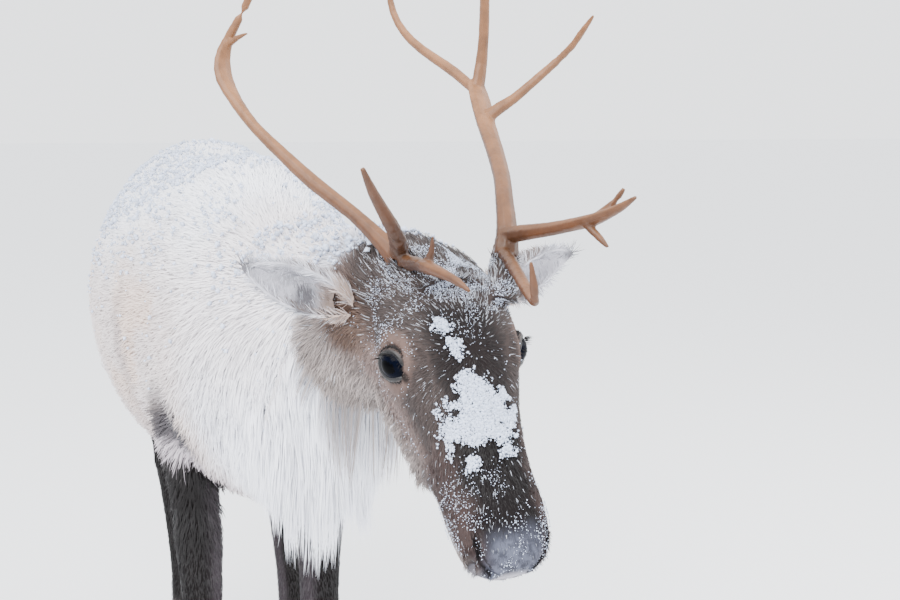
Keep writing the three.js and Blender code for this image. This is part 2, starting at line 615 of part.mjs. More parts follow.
function head() {
  const lids = (side) => ball(EYE_RADIUS + LID_THICKNESS, eyeAt(side));
  const swellings = [-1, 1].flatMap((side) => [lids(side), brow(side), earRoot(side)]);
  const stumps = [pedicle(RIGHT_BEAM), pedicle(LEFT_BEAM)];
  const sockets = [-1, 1].map((side) => ball(EYE_RADIUS + GAP, eyeAt(side)));
  const pits = [-1, 1].flatMap((side) => [nostril(side), lidOpening(side)]);
  const toHead = (solid) => moved(solid, levelToHead);
  const roots = [RIGHT_BEAM, LEFT_BEAM].map((rows) => branch(rows, BURR_PLACE, 3, { grow: GAP }));
  const tines = [RIGHT_BROW, RIGHT_BEZ, LEFT_BROW, LEFT_BEZ].map((rows) => whole(rows, { grow: GAP }));
  return largestOf(
    unite([headWithNape(), ...swellings, ...stumps])
      .subtract(unite([...sockets, ...pits, mouth(), ...[...roots, ...tines].map(toHead)])),
  );
}

// Hair: one flat lock that bends down from its root and tapers to a point
function lock({ root, out, fall, length, width, thickness, sunk, curl }, grow = 0) {
  const start = root.clone().addScaledVector(out, -sunk).addScaledVector(fall, -sunk);
  const bend = root.clone().addScaledVector(out, 14).addScaledVector(fall, length * 0.4);
  const tip = root.clone().addScaledVector(fall, length).addScaledVector(curl, length * 0.1);
  const line = new THREE.QuadraticBezierCurve3(start, bend, tip);
  const sections = [0, 0.3, 0.58, 0.82, 1];
  const shares = [0.2, 0.9, 1, 0.6, 0.06];
  const rings = sections.map((place, i) => {
    const along = line.getTangent(place);
    const across = along.clone().cross(out).normalize();
    const face = across.clone().cross(along).normalize();
    const [w, t] = [width * shares[i] / 2 + grow, thickness * Math.sqrt(shares[i]) / 2 + grow];
    const at = line.getPoint(place);
    return [[w, 0], [0, t], [-w, 0], [0, -t]].map(([a, b]) =>
      at.clone().addScaledVector(across, a).addScaledVector(face, b));
  });
  return solidOf(loft(rings));
}

// Where the locks of the mane grow and how they hang, row by row from the throat to the breast
function maneLocks() {
  const draw = draws(7);
  const made = [];
  for (let row = 0; row < MANE.rows; row += 1) {
    const share = row / (MANE.rows - 1);
    const across = MANE.across + (row % 2);
    for (let i = 0; i < across; i += 1) {
      const place = MANE.from + (MANE.to - MANE.from) * share + (draw() - 0.5) * 0.2;
      const sweep = (2 * (i + 0.5 + (draw() - 0.5) * 0.4)) / across - 1;
      const station = between(TRUNK, place);
      const angle = radians(-90 + MANE.spread * sweep);
      const root = pointOn(station, angle);
      const { forward, side } = axesOf(station);
      const around = pointOn(station, angle + 0.02).sub(root);
      const along = pointOn(between(TRUNK, place + 0.05), angle).sub(root);
      const out = around.cross(along).normalize();
      // Longest under the middle of the neck, and shorter up its sides and towards the breast
      const crest = Math.exp(-(((share - MANE.crest) / MANE.reach) ** 2)) * (1 - 0.6 * sweep * sweep);
      const length = MANE.shortest + (MANE.longest - MANE.shortest) * crest;
      const fall = new THREE.Vector3(0, 0, -1).addScaledVector(forward, -0.12 - 0.2 * draw());
      fall.addScaledVector(out, 0.1 - Math.min(0, fall.dot(out))).normalize();
      made.push({
        place,
        root,
        out,
        fall,
        length: length * (0.85 + 0.3 * draw()),
        width: MANE.width * (0.8 + 0.4 * draw()),
        thickness: MANE.thickness,
        sunk: 16,
        curl: forward.clone().negate().addScaledVector(side, draw() - 0.5),
      });
    }
  }
  return made;
}

// Hooves: one claw, cut level with the hair line above it
function claw(leg, side) {
  const coronet = leg[leg.length - 1];
  const rings = places(0, CLAW.length - 1, 1).map((place) => {
    const row = between(CLAW, place);
    return CLAW_SECTION.map(([out, up]) => new THREE.Vector3(
      coronet.x + side * (row.out + row.half * out * (out < 0 ? 0.86 : 1)),
      coronet.y - row.ahead,
      Math.max(row.high, 1) * up,
    ));
  });
  const station = { ...coronet, turn: 0 };
  const { forward } = axesOf(station);
  const point = new THREE.Vector3(coronet.x, coronet.y, coronet.z);
  return largestOf(solidOf(loft(rings)).intersect(sideOf(point, forward, GAP / 2)));
}

// The small claw behind the pastern
function dewclaw(leg, side, pasternGrown) {
  const coronet = leg[leg.length - 1];
  const { length, radius, behind, z } = DEWCLAW;
  const root = new THREE.Vector3(coronet.x + side * DEWCLAW.side, coronet.y + behind, z);
  const tip = root.clone().add(new THREE.Vector3(side * 6, length * 0.62, -length * 0.86));
  const line = new THREE.QuadraticBezierCurve3(
    root, root.clone().add(new THREE.Vector3(side * 4, length * 0.6, -length * 0.2)), tip,
  );
  const sections = [[0, 1], [0.4, 1], [0.75, 0.72], [1, 0.16]];
  const rings = sections.map(([place, share]) => {
    const along = line.getTangent(place);
    const across = new THREE.Vector3(1, 0, 0);
    const deep = along.clone().cross(across).normalize();
    return Array.from({ length: 6 }, (_, k) => {
      const angle = (2 * Math.PI * k) / 6;
      return line.getPoint(place)
        .addScaledVector(across, radius * share * Math.cos(angle))
        .addScaledVector(deep, radius * 0.72 * share * Math.sin(angle));
    });
  });
  return largestOf(solidOf(loft(rings)).subtract(pasternGrown));
}

// Gather every piece as a named mesh
const root = new THREE.Group();
const frames = { body: root, head: headFrame, level: levelFrame };
root.add(headFrame, levelFrame);

function put(name, solid, colour, frame = "body", roughness = 0.85) {
  const material = new THREE.MeshStandardMaterial({ color: COLOURS[colour], roughness, metalness: 0 });
  const mesh = new THREE.Mesh(geometryOf(solid), material);
  mesh.name = name;
  frames[frame].add(mesh);
}

function addLegs() {
  const legOptions = { sides: LEG_SIDES, step: LEG_STEP };
  const grownLegs = [];
  for (const [sideName, side] of [["left", 1], ["right", -1]]) {
    for (const [end, table, cuts] of [["front", FRONT_LEG, FRONT_CUTS], ["hind", HIND_LEG, HIND_CUTS]]) {
      const prefix = `${sideName}_${end}`;
      const leg = leant(side > 0 ? table : mirrored(table), FOOT_SHIFT[prefix]);
      const [first, second, third] = Object.values(cuts);
      const last = leg.length - 1;
      const names = end === "front" ? ["upper_arm", "forearm"] : ["thigh", "shank"];
      const upper = stretch(leg, 0, first, { ...legOptions, cutStart: false });
      put(`${prefix}_${names[0]}`, largestOf(upper.subtract(trunkGrown)), "coat");
      const lower = stretch(leg, first, second, legOptions).subtract(trunkGrown);
      put(`${prefix}_${names[1]}`, largestOf(lower), "leg");
      put(`${prefix}_cannon`, stretch(leg, second, third, legOptions), "leg");
      put(`${prefix}_pastern`, stretch(leg, third, last, legOptions), "leg");
      const grownOptions = { ...legOptions, grow: GAP, cutStart: false, cutEnd: false };
      const pasternGrown = unite([
        stretch(leg, second, third, grownOptions), stretch(leg, third, last, grownOptions),
      ]);
      for (const [toe, toeSide] of [["inner", -side], ["outer", side]]) {
        put(`${prefix}_${toe}_claw`, claw(leg, toeSide), "claw", "body", 0.5);
        put(`${prefix}_${toe}_dewclaw`, dewclaw(leg, toeSide, pasternGrown), "claw", "body", 0.5);
      }
      grownLegs.push(stretch(leg, 0, first, grownOptions), stretch(leg, first, second, grownOptions));
    }
  }
  return unite(grownLegs);
}

function addTrunk(grownLegs) {
  const headGrown = moved(headWithNape(GAP), headFrame.matrix);
  const backOfHead = moved(headBlank(), headFrame.matrix);
  const plane = napePoint.clone().applyMatrix4(headFrame.matrix);
  const normal = napeNormal.clone().transformDirection(headFrame.matrix);
  const behindHead = sideOf(plane, normal.clone().negate(), GAP / 2);
  const locks = maneLocks();
  const ofChest = locks.filter(({ place }) => place <= CHEST_END);
  const ofNeck = locks.filter(({ place }) => place > CHEST_END);
  const chestGrown = unite([
    stretch(TRUNK, BARREL_END, CHEST_END, { ...trunkOptions, grow: GAP, cutEnd: false }),
    ...ofChest.map((one) => lock(one, GAP)),
  ]);
  const barrel = stretch(TRUNK, RUMP_END, BARREL_END, trunkOptions);
  const chest = unite([
    stretch(TRUNK, BARREL_END, CHEST_END, trunkOptions),
    ...ofChest.map((one) => lock(one)),
  ]);
  const neck = unite([
    neckBlank().add(backOfHead).intersect(behindHead),
    ...ofNeck.map((one) => lock(one).subtract(headGrown)),
  ]);
  put("rump", stretch(TRUNK, 0, RUMP_END, { ...trunkOptions, cutStart: false }), "coat");
  put("barrel", barrel, "coat");
  put("chest", largestOf(chest.subtract(grownLegs)), "coat");
  put("neck", largestOf(neck.subtract(chestGrown).subtract(grownLegs)), "mane");
  const tailOptions = { sides: 12, step: 0.5, cutStart: false, cutEnd: false };
  const tail = stretch(TAIL, 0, TAIL.length - 1, tailOptions);
  put("tail", largestOf(tail.subtract(trunkGrown)), "mane");
}

function addHead() {
  const headGrown = headWithNape(GAP);
  put("head", head(), "face", "head");
  for (const [name, side] of [["left", 1], ["right", -1]]) {
    put(`${name}_eye`, ball(EYE_RADIUS, eyeAt(side)), "eye", "head", 0.1);
    put(`${name}_ear`, largestOf(ear(side).subtract(headGrown)), "ear", "head");
  }
}

function addAntlers() {
  const add = (name, solid) => put(name, solid, "antler", "level", 0.6);
  const { middle, palm, top } = RIGHT_CUTS;
  const rightEnd = RIGHT_BEAM.length - 1;
  const rightGrown = whole(RIGHT_BEAM, { grow: GAP });
  add("right_antler_beam_lower", branch(RIGHT_BEAM, BURR_PLACE, middle, { cutEnd: true }));
  add("right_antler_beam_middle", branch(RIGHT_BEAM, middle, palm, { cutStart: true, cutEnd: true }));
  add("right_antler_palm", branch(RIGHT_BEAM, palm, top, { cutStart: true, cutEnd: true }));
  add("right_antler_beam_top", largestOf(
    branch(RIGHT_BEAM, top, rightEnd, { cutStart: true }).add(whole(RIGHT_TOP_TINE)),
  ));
  add("right_antler_spur", largestOf(whole(RIGHT_SPUR).subtract(rightGrown)));
  const brow = unite([whole(RIGHT_BROW), whole(RIGHT_BROW_SPUR)]);
  const browGrown = unite([whole(RIGHT_BROW, { grow: GAP }), whole(RIGHT_BROW_SPUR, { grow: GAP })]);
  add("right_antler_brow_tine", largestOf(brow.subtract(rightGrown)));
  add("right_antler_bez_tine", largestOf(whole(RIGHT_BEZ).subtract(rightGrown).subtract(browGrown)));

  const leftEnd = LEFT_BEAM.length - 1;
  const { upper } = LEFT_CUTS;
  const leftGrown = whole(LEFT_BEAM, { grow: GAP });
  add("left_antler_beam_lower", branch(LEFT_BEAM, BURR_PLACE, upper, { cutEnd: true }));
  add("left_antler_beam_upper", branch(LEFT_BEAM, upper, leftEnd, { cutStart: true }));
  const bez = unite([LEFT_BEZ, ...LEFT_BEZ_PRONGS].map((rows) => whole(rows)));
  const bezGrown = unite([LEFT_BEZ, ...LEFT_BEZ_PRONGS].map((rows) => whole(rows, { grow: GAP })));
  add("left_antler_bez_tine", largestOf(bez.subtract(leftGrown)));
  add("left_antler_brow_tine", largestOf(whole(LEFT_BROW).subtract(leftGrown).subtract(bezGrown)));
  const topGrown = whole(LEFT_TOP, { grow: GAP });
  add("left_antler_top", largestOf(whole(LEFT_TOP).subtract(leftGrown)));
  add("left_antler_back_tine", largestOf(whole(LEFT_BACK_TINE).subtract(leftGrown).subtract(topGrown)));
  add("left_antler_outer_tine", largestOf(whole(LEFT_OUTER_TINE).subtract(leftGrown)));
}

addTrunk(addLegs());
addHead();
addAntlers();

// The origin is on the floor under the middle of the whole animal
root.updateMatrixWorld(true);
const box = new THREE.Box3().setFromObject(root, true);
root.position.set(-(box.min.x + box.max.x) / 2, -(box.min.y + box.max.y) / 2, 0);

export default root;
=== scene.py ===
"""A reindeer cow in winter coat: the looks of the life-size model, built over its solids.

One skin stands for the flesh, tufts of hair grow from it along the lie of the coat, and the
antlers, eyes and hooves are pieces of their own. Metres, +Z up, nose towards -Y.
"""

import json
import logging
import math
from collections.abc import Sequence
from dataclasses import dataclass, field
from enum import Enum

import bpy
import numpy as np
from mathutils import Matrix, Vector

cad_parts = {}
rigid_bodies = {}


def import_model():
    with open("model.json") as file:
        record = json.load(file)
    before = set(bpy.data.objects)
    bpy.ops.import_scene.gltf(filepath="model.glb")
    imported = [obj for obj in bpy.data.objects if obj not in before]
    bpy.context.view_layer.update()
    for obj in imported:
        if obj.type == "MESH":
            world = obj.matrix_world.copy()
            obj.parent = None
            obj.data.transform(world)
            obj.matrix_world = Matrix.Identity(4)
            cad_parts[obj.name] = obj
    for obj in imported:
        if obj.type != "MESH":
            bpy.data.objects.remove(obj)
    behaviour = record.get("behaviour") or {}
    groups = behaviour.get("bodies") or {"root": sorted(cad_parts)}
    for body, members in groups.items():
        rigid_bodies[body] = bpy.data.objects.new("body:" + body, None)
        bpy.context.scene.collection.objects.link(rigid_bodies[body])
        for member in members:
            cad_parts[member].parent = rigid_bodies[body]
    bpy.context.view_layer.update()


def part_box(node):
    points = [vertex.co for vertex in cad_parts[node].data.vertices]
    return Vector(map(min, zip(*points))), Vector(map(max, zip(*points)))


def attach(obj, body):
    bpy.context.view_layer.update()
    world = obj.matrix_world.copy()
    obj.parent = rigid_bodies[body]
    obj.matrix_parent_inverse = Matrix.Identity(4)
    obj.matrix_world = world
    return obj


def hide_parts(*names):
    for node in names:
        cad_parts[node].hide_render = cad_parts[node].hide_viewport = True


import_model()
SOLIDS = sorted(obj.name for obj in bpy.data.objects if obj.type == "MESH")

LOG = logging.getLogger("reindeer")
# A millimetre in metres, and the start of the random numbers.
MM = 0.001
SEED = 41
# How the paint answers to the light of the studio.
TONE_CONTRAST = 1.55
TONE_GAIN = 1.14
ROOT_BODY = "root"
COLOUR_LAYER = "coat_colour"
BAKE_MAP = "OFBake"
SIDES = {"left": 1.0, "right": -1.0}
LEGS = ("left_front", "right_front", "left_hind", "right_hind")

Array = np.ndarray
Stretch = tuple[float, float]


# Colours and numbers


def linear(red: float, green: float, blue: float) -> Array:
    """The paint that shows as this display colour, each channel from 0 to 255, in bright soft light.

    The light lifts dark tones more than pale ones, so the paint has more contrast than the colour.

    Args:
        red: the red channel.
        green: the green channel.
        blue: the blue channel.

    Returns:
        The paint's colour in linear light.
    """
    share = np.array([red, green, blue], float) / 255
    light = np.where(share <= 0.04045, share / 12.92, ((share + 0.055) / 1.055) ** 2.4)
    return TONE_GAIN * light**TONE_CONTRAST


def step(low: float, high: float, value: Array) -> Array:
    """A smooth rise from 0 at low to 1 at high; it falls where low is over high."""
    share = np.clip((value - low) / (high - low), 0, 1)
    return share * share * (3 - 2 * share)


def unit(vectors: Array) -> Array:
    """The same directions with a length of one."""
    return vectors / np.maximum(np.linalg.norm(vectors, axis=-1, keepdims=True), 1e-9)


def noise(points: Array, size: float, seed: int = 0) -> Array:
    """Smooth noise from 0 to 1.

    Args:
        points: where it is read, one row a point.
        size: the size of its lumps, in the points' unit.
        seed: another number gives another pattern.

    Returns:
        One value a point.
    """
    place = points / size + 13.7 * (seed + 1)
    cell = np.floor(place).astype(np.int64)
    share = place - cell
    share = share * share * (3 - 2 * share)
    total = np.zeros(len(points))
    for corner in np.ndindex(2, 2, 2):
        at = cell + np.array(corner)
        mixed = at[:, 0] * 73856093 ^ at[:, 1] * 19349663 ^ at[:, 2] * 83492791 ^ seed * 40503
        mixed = (mixed ^ (mixed >> 13)) * 1274126177
        value = ((mixed ^ (mixed >> 16)) & 0xFFFF) / 65535
        weight = np.prod(np.where(np.array(corner, bool), share, 1 - share), axis=1)
        total += weight * value
    return total


def noise_vectors(points: Array, size: float, seed: int) -> Array:
    """Smooth noise of directions, each part from -1 to 1."""
    return np.stack([noise(points, size, seed + axis) * 2 - 1 for axis in range(3)], axis=1)


def smooth_rows(table: Array, places: Array) -> Array:
    """A table read between its rows, on a smooth curve through them.

    Args:
        table: one row a station.
        places: where to read, counted in rows.

    Returns:
        One row a place.
    """
    before, after = 2 * table[0] - table[1], 2 * table[-1] - table[-2]
    padded = np.vstack([before, table, after])
    first = np.clip(np.floor(places).astype(int), 0, len(table) - 2)
    share = (places - first)[:, None]
    a, b, c, d = (padded[first + shift] for shift in range(4))
    slope_b, slope_c = (c - a) / 2, (d - b) / 2
    square, cube = share**2, share**3
    return (
        b * (2 * cube - 3 * square + 1)
        + c * (3 * square - 2 * cube)
        + slope_b * (cube - 2 * square + share)
        + slope_c * (cube - square)
    )


# Where things are on the body


def body_origin() -> Array:
    """The floor under the withers, midway between the forefeet, from the solids of the hooves.

    Returns:
        Its place in metres.
    """
    ahead_of_withers = 39 * MM
    boxes = [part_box(f"{side}_front_outer_claw") for side in SIDES]
    middles = [(low + high) / 2 for low, high in boxes]
    centre = (middles[0] + middles[1]) / 2
    return np.array([centre.x, centre.y + ahead_of_withers, 0.0])


ORIGIN = body_origin()


@dataclass(frozen=True)
class HeadFrame:
    """The head's own frame: left, back and up from a point under the front of the crown."""

    place: tuple[float, float, float] = (104, -545, 938)
    pitch: float = 52
    roll: float = 4
    turn: float = 8.5

    def matrix(self) -> Matrix:
        """The frame as a matrix in metres.

        Returns:
            The matrix.
        """
        spin = (
            Matrix.Rotation(math.radians(self.turn), 4, "Z")
            @ Matrix.Rotation(math.radians(self.pitch), 4, "X")
            @ Matrix.Rotation(-math.radians(self.roll), 4, "Y")
        )
        return Matrix.Translation(Vector(ORIGIN) + Vector(self.place) * MM) @ spin

    def inside(self, points: Array) -> Array:
        """Points as (to its left, ahead, up) in this frame, in millimetres.

        Args:
            points: places in the part's frame, in metres.

        Returns:
            The places, a row a point.
        """
        back = np.array(self.matrix().inverted())
        made = (points @ back[:3, :3].T + back[:3, 3]) / MM
        return made * np.array([1, -1, 1])

    def outside(self, left: float, ahead: float, up: float) -> Array:
        """A point of this frame, in millimetres, as a point of the part."""
        return np.array(self.matrix() @ (Vector((left, -ahead, up)) * MM))

    def direction(self, left: float, ahead: float, up: float) -> Array:
        """A direction of this frame as one of the part."""
        return np.array((self.matrix().to_3x3() @ Vector((left, -ahead, up))).normalized())


HEAD = HeadFrame()


@dataclass(frozen=True)
class Station:
    """A section of the trunk, in millimetres from the body's origin.

    It rises and drops from its widest line, and its axis slopes and turns to the left.
    """

    x: float
    y: float
    z: float
    rise: float
    drop: float
    half: float
    pitch: float = 0
    turn: float = 0


TRUNK = (
    Station(20, 912, 846, 54, 74, 56),
    Station(19, 884, 850, 106, 128, 104),
    Station(16, 812, 838, 160, 182, 148),
    Station(12, 706, 816, 216, 212, 182),
    Station(8, 566, 798, 228, 234, 206),
    Station(4, 410, 783, 228, 250, 218),
    Station(0, 244, 775, 228, 246, 206),
    Station(0, 96, 776, 238, 230, 180),
    Station(0, -12, 780, 240, 218, 156, 0, 1),
    Station(4, -112, 788, 200, 214, 138, -3, 4),
    Station(14, -206, 802, 153, 186, 116, -2, 8),
    Station(34, -310, 828, 118, 148, 96, 2, 12),
    Station(62, -396, 862, 98, 116, 80, -6, 14),
    Station(84, -466, 872, 88, 96, 70, -26, 12),
    Station(100, -524, 858, 76, 80, 58, -34, 10),
)
TRUNK_TABLE = np.array([[getattr(s, k) for k in Station.__dataclass_fields__] for s in TRUNK], float)


def trunk_rings(sides: int, spacing: float) -> Array:
    """Rings of points round the trunk, in metres in the part's frame.

    Args:
        sides: points a ring.
        spacing: rings, counted in stations.

    Returns:
        An array of rings by sides by three.
    """
    places = np.arange(0, len(TRUNK) - 1 + spacing / 2, spacing)
    rows = smooth_rows(TRUNK_TABLE, places)
    x, y, z, rise, drop, half, pitch, turn = rows.T
    pitch, turn = np.radians(pitch), np.radians(turn)
    forward = np.stack([np.sin(turn) * np.cos(pitch), -np.cos(turn) * np.cos(pitch), np.sin(pitch)], 1)
    side = np.stack([np.cos(turn), np.sin(turn), np.zeros(len(turn))], 1)
    up = np.cross(forward, side)
    angle = np.linspace(0, 2 * math.pi, sides, endpoint=False)
    across = half[:, None] * np.cos(angle)
    high = np.where(np.sin(angle) > 0, rise[:, None], drop[:, None]) * np.sin(angle)
    middle = np.stack([x, y, z], 1)[:, None]
    return (middle + across[..., None] * side[:, None] + high[..., None] * up[:, None]) * MM + ORIGIN


# Meshes


def new_mesh(name: str, points: Array, faces: Array, smooth: bool = True) -> bpy.types.Object:
    """A mesh object from arrays.

    Args:
        name: the object's name.
        points: one row a point, in metres.
        faces: one row a face, all with the same count of corners.
        smooth: whether its faces are shaded smooth.

    Returns:
        The new object, in the scene.
    """
    mesh = bpy.data.meshes.new(name)
    corners = faces.shape[1]
    mesh.vertices.add(len(points))
    mesh.vertices.foreach_set("co", np.ascontiguousarray(points, np.float32).ravel())
    mesh.loops.add(faces.size)
    mesh.loops.foreach_set("vertex_index", np.ascontiguousarray(faces, np.int32).ravel())
    mesh.polygons.add(len(faces))
    mesh.polygons.foreach_set("loop_start", np.arange(0, faces.size, corners, dtype=np.int32))
    mesh.polygons.foreach_set("use_smooth", np.full(len(faces), smooth))
    mesh.update(calc_edges=True)
    made = bpy.data.objects.new(name, mesh)
    bpy.context.scene.collection.objects.link(made)
    return made


def triangles_of(obj: bpy.types.Object) -> tuple[Array, Array]:
    """An object's points and its faces as triangles.

    Args:
        obj: the object.

    Returns:
        The points, and the three points of each triangle.
    """
    mesh = obj.data
    mesh.calc_loop_triangles()
    points = np.zeros(len(mesh.vertices) * 3, np.float32)
    mesh.vertices.foreach_get("co", points)
    faces = np.zeros(len(mesh.loop_triangles) * 3, np.int32)
    mesh.loop_triangles.foreach_get("vertices", faces)
    return points.reshape(-1, 3).astype(float), faces.reshape(-1, 3)


def gathered(parts: Sequence[tuple[Array, Array]]) -> tuple[Array, Array]:
    """Several sets of points and triangles as one.

    Args:
        parts: points and triangles of each.

    Returns:
        All points, and all triangles numbered over them.
    """
    starts = np.cumsum([0] + [len(points) for points, _ in parts[:-1]])
    points = np.vstack([points for points, _ in parts])
    faces = np.vstack([faces + start for (_, faces), start in zip(parts, starts)])
    return points, faces


def capped_tube(rings: Array) -> tuple[Array, Array]:
    """Points and triangles of a closed skin over rings of points.

    Args:
        rings: rings of points, one after another.

    Returns:
        The points and the triangles.
    """
    count, sides = rings.shape[:2]
    row, corner = np.meshgrid(np.arange(count - 1), np.arange(sides), indexing="ij")
    a = (row * sides + corner).ravel()
    b = (row * sides + (corner + 1) % sides).ravel()
    faces = [np.stack([a, b, b + sides], 1), np.stack([a, b + sides, a + sides], 1)]
    ends = rings.mean(axis=1)[[0, -1]]
    loop = np.arange(sides)
    first, last = count * sides, count * sides + 1
    turned = (loop + 1) % sides
    start = (count - 1) * sides
    faces.append(np.stack([turned, loop, np.full(sides, first)], 1))
    faces.append(np.stack([start + loop, start + turned, np.full(sides, last)], 1))
    return np.vstack([rings.reshape(-1, 3), ends]), np.vstack(faces)


def baked(obj: bpy.types.Object) -> bpy.types.Object:
    """The object with its modifiers made part of its mesh.

    Args:
        obj: the object.

    Returns:
        The changed object.
    """
    shape = obj.evaluated_get(bpy.context.evaluated_depsgraph_get())
    mesh = bpy.data.meshes.new_from_object(shape)
    obj.modifiers.clear()
    old, obj.data = obj.data, mesh
    bpy.data.meshes.remove(old)
    return obj


def fused(name: str, parts: Sequence[tuple[Array, Array]], voxel: float) -> bpy.types.Object:
    """Pieces that touch or overlap, as one even skin.

    Args:
        name: the new object's name.
        parts: the pieces' points and triangles.
        voxel: the size of the skin's faces.

    Returns:
        One closed mesh.
    """
    made = new_mesh(name, *gathered(parts))
    remesh = made.modifiers.new("even", "REMESH")
    remesh.mode = "VOXEL"
    remesh.voxel_size = voxel
    remesh.use_smooth_shade = True
    return baked(made)


def weigh(obj: bpy.types.Object, name: str, weights: Array, levels: int = 16) -> None:
    """Gives the object a vertex group with these weights, rounded to a few levels.

    Args:
        obj: the object.
        name: the name of the group.
        weights: a weight for each point, from 0 to 1.
        levels: how many levels.
    """
    group = obj.vertex_groups.new(name=name)
    level = np.round(np.clip(weights, 0, 1) * levels).astype(int)
    for value in range(1, levels + 1):
        members = np.flatnonzero(level == value)
        if len(members):
            group.add(members.tolist(), value / levels, "REPLACE")


def relaxed(obj: bpy.types.Object, rounds: int, group: str = "") -> bpy.types.Object:
    """The object with its surface smoothed, by its group's weights if it names one.

    Args:
        obj: the object.
        rounds: how many rounds of smoothing.
        group: the name of the vertex group.

    Returns:
        The changed object.
    """
    smooth = obj.modifiers.new("relax", "SMOOTH")
    smooth.factor = 0.5
    smooth.iterations = rounds
    smooth.vertex_group = group
    return baked(obj)


def thinned(obj: bpy.types.Object, ratio: float) -> bpy.types.Object:
    """The object with fewer faces.

    Args:
        obj: the object.
        ratio: the share of its faces that stays.

    Returns:
        The changed object.
    """
    fewer = obj.modifiers.new("fewer", "DECIMATE")
    fewer.ratio = ratio
    return baked(obj)


def paint(obj: bpy.types.Object, colours: Array) -> None:
    """Gives each point of the mesh its colour.

    Args:
        obj: the object.
        colours: a colour for each point.
    """
    layer = obj.data.color_attributes.new(COLOUR_LAYER, "FLOAT_COLOR", "POINT")
    filled = np.ones((len(colours), 4), np.float32)
    filled[:, :3] = colours
    layer.data.foreach_set("color", filled.ravel())


def dress(obj: bpy.types.Object, finish: bpy.types.Material) -> bpy.types.Object:
    """Puts a finish on a piece and sets it on the body.

    Args:
        obj: the object.
        finish: the material.

    Returns:
        The dressed piece.
    """
    obj.data.materials.clear()
    obj.data.materials.append(finish)
    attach(obj, ROOT_BODY)
    return obj


@dataclass
class Surface:
    """A triangle mesh as arrays, with the unwrap that its hair's colours are kept in."""

    points: Array
    triangles: Array
    part: Array
    normals: Array = field(init=False)
    areas: Array = field(init=False)
    unwrap: Array = field(init=False)

    def __post_init__(self) -> None:
        """Works out the normals of the points."""
        corners = self.points[self.triangles]
        faces = np.cross(corners[:, 1] - corners[:, 0], corners[:, 2] - corners[:, 0])
        total = np.zeros_like(self.points)
        for axis in range(3):
            for corner in range(3):
                total[:, axis] += np.bincount(
                    self.triangles[:, corner], faces[:, axis], minlength=len(self.points)
                )
        self.normals = unit(total)
        self.areas = np.linalg.norm(faces, axis=1) / 2

    def scatter(self, density: Array, rng: np.random.Generator) -> "Roots":
        """Roots spread over the surface.

        Args:
            density: how many to a square metre, for each triangle.
            rng: the seeded draw.

        Returns:
            The roots.
        """
        expected = self.areas * density
        count = np.floor(expected + rng.random(len(expected))).astype(int)
        chosen = np.repeat(np.arange(len(count)), count)
        first, second = rng.random((2, len(chosen)))
        fold = first + second > 1
        first[fold], second[fold] = 1 - first[fold], 1 - second[fold]
        shares = np.stack([1 - first - second, first, second], 1)[..., None]
        corners = self.triangles[chosen]
        return Roots(
            (self.points[corners] * shares).sum(1),
            unit((self.normals[corners] * shares).sum(1)),
            (self.unwrap[chosen] * shares).sum(1),
            self.part[self.triangles[chosen, 0]],
        )


@dataclass
class Roots:
    """Where hairs grow: points, the skin's normals, places on its unwrap and parts."""

    points: Array
    normals: Array
    places: Array
    part: Array


class Part(Enum):
    """The parts of the skin that are unwrapped and coated apart."""

    BODY = 0
    HEAD = 1
    LEFT_EAR = 2
    RIGHT_EAR = 3


class Kind(Enum):
    """The kinds of hair."""

    FLANK = "flank"
    BACK = "back"
    BELLY = "belly"
    NECK = "neck"
    THROAT = "throat"
    LEG = "leg"
    FETLOCK = "fetlock"
    TAIL = "tail"
    CHEEK = "cheek"
    JAW = "jaw"
    RUFF = "ruff"
    FACE = "face"
    CROWN = "crown"
    MUZZLE = "muzzle"
    NOSE = "nose"
    LIDS = "lids"
    EAR = "ear"


@dataclass(frozen=True)
class Growth:
    """How one kind of hair grows.

    density is tufts to a square metre, length and width are a tuft's in millimetres, lift is its
    angle off the skin in degrees, and depth is how far the skin lies under the coat.
    """

    density: float
    length: float
    width: float
    lift: float
    depth: float


GROWTH = {
    Kind.FLANK: Growth(76000, 32, 2.0, 14, 8),
    Kind.BACK: Growth(80000, 28, 2.0, 18, 8),
    Kind.BELLY: Growth(52000, 42, 2.6, 16, 11),
    Kind.NECK: Growth(92000, 38, 1.8, 13, 8),
    Kind.THROAT: Growth(96000, 48, 1.8, 14, 11),
    Kind.LEG: Growth(120000, 14, 1.7, 12, 3),
    Kind.FETLOCK: Growth(120000, 16, 1.7, 16, 3),
    Kind.TAIL: Growth(120000, 55, 2.2, 14, 6),
    Kind.CHEEK: Growth(330000, 15, 1.15, 15, 4),
    Kind.JAW: Growth(240000, 27, 1.4, 26, -2),
    Kind.RUFF: Growth(320000, 24, 1.1, 18, 4),
    Kind.FACE: Growth(520000, 9, 0.95, 15, 2.2),
    Kind.CROWN: Growth(480000, 11, 0.9, 18, 2.8),
    Kind.MUZZLE: Growth(620000, 6, 0.85, 15, 1.5),
    Kind.NOSE: Growth(700000, 5.0, 0.7, 15, 1.2),
    Kind.LIDS: Growth(700000, 5, 0.75, 10, 1.4),
    Kind.EAR: Growth(560000, 15, 0.95, 15, 1.0),
}
GROWTH_TABLE = np.array(
    [[g.density, g.length, g.width, g.lift, g.depth] for g in GROWTH.values()], float
)
KINDS = list(GROWTH)
GROWTH_FIELDS = ("density", "length", "width", "lift", "depth")
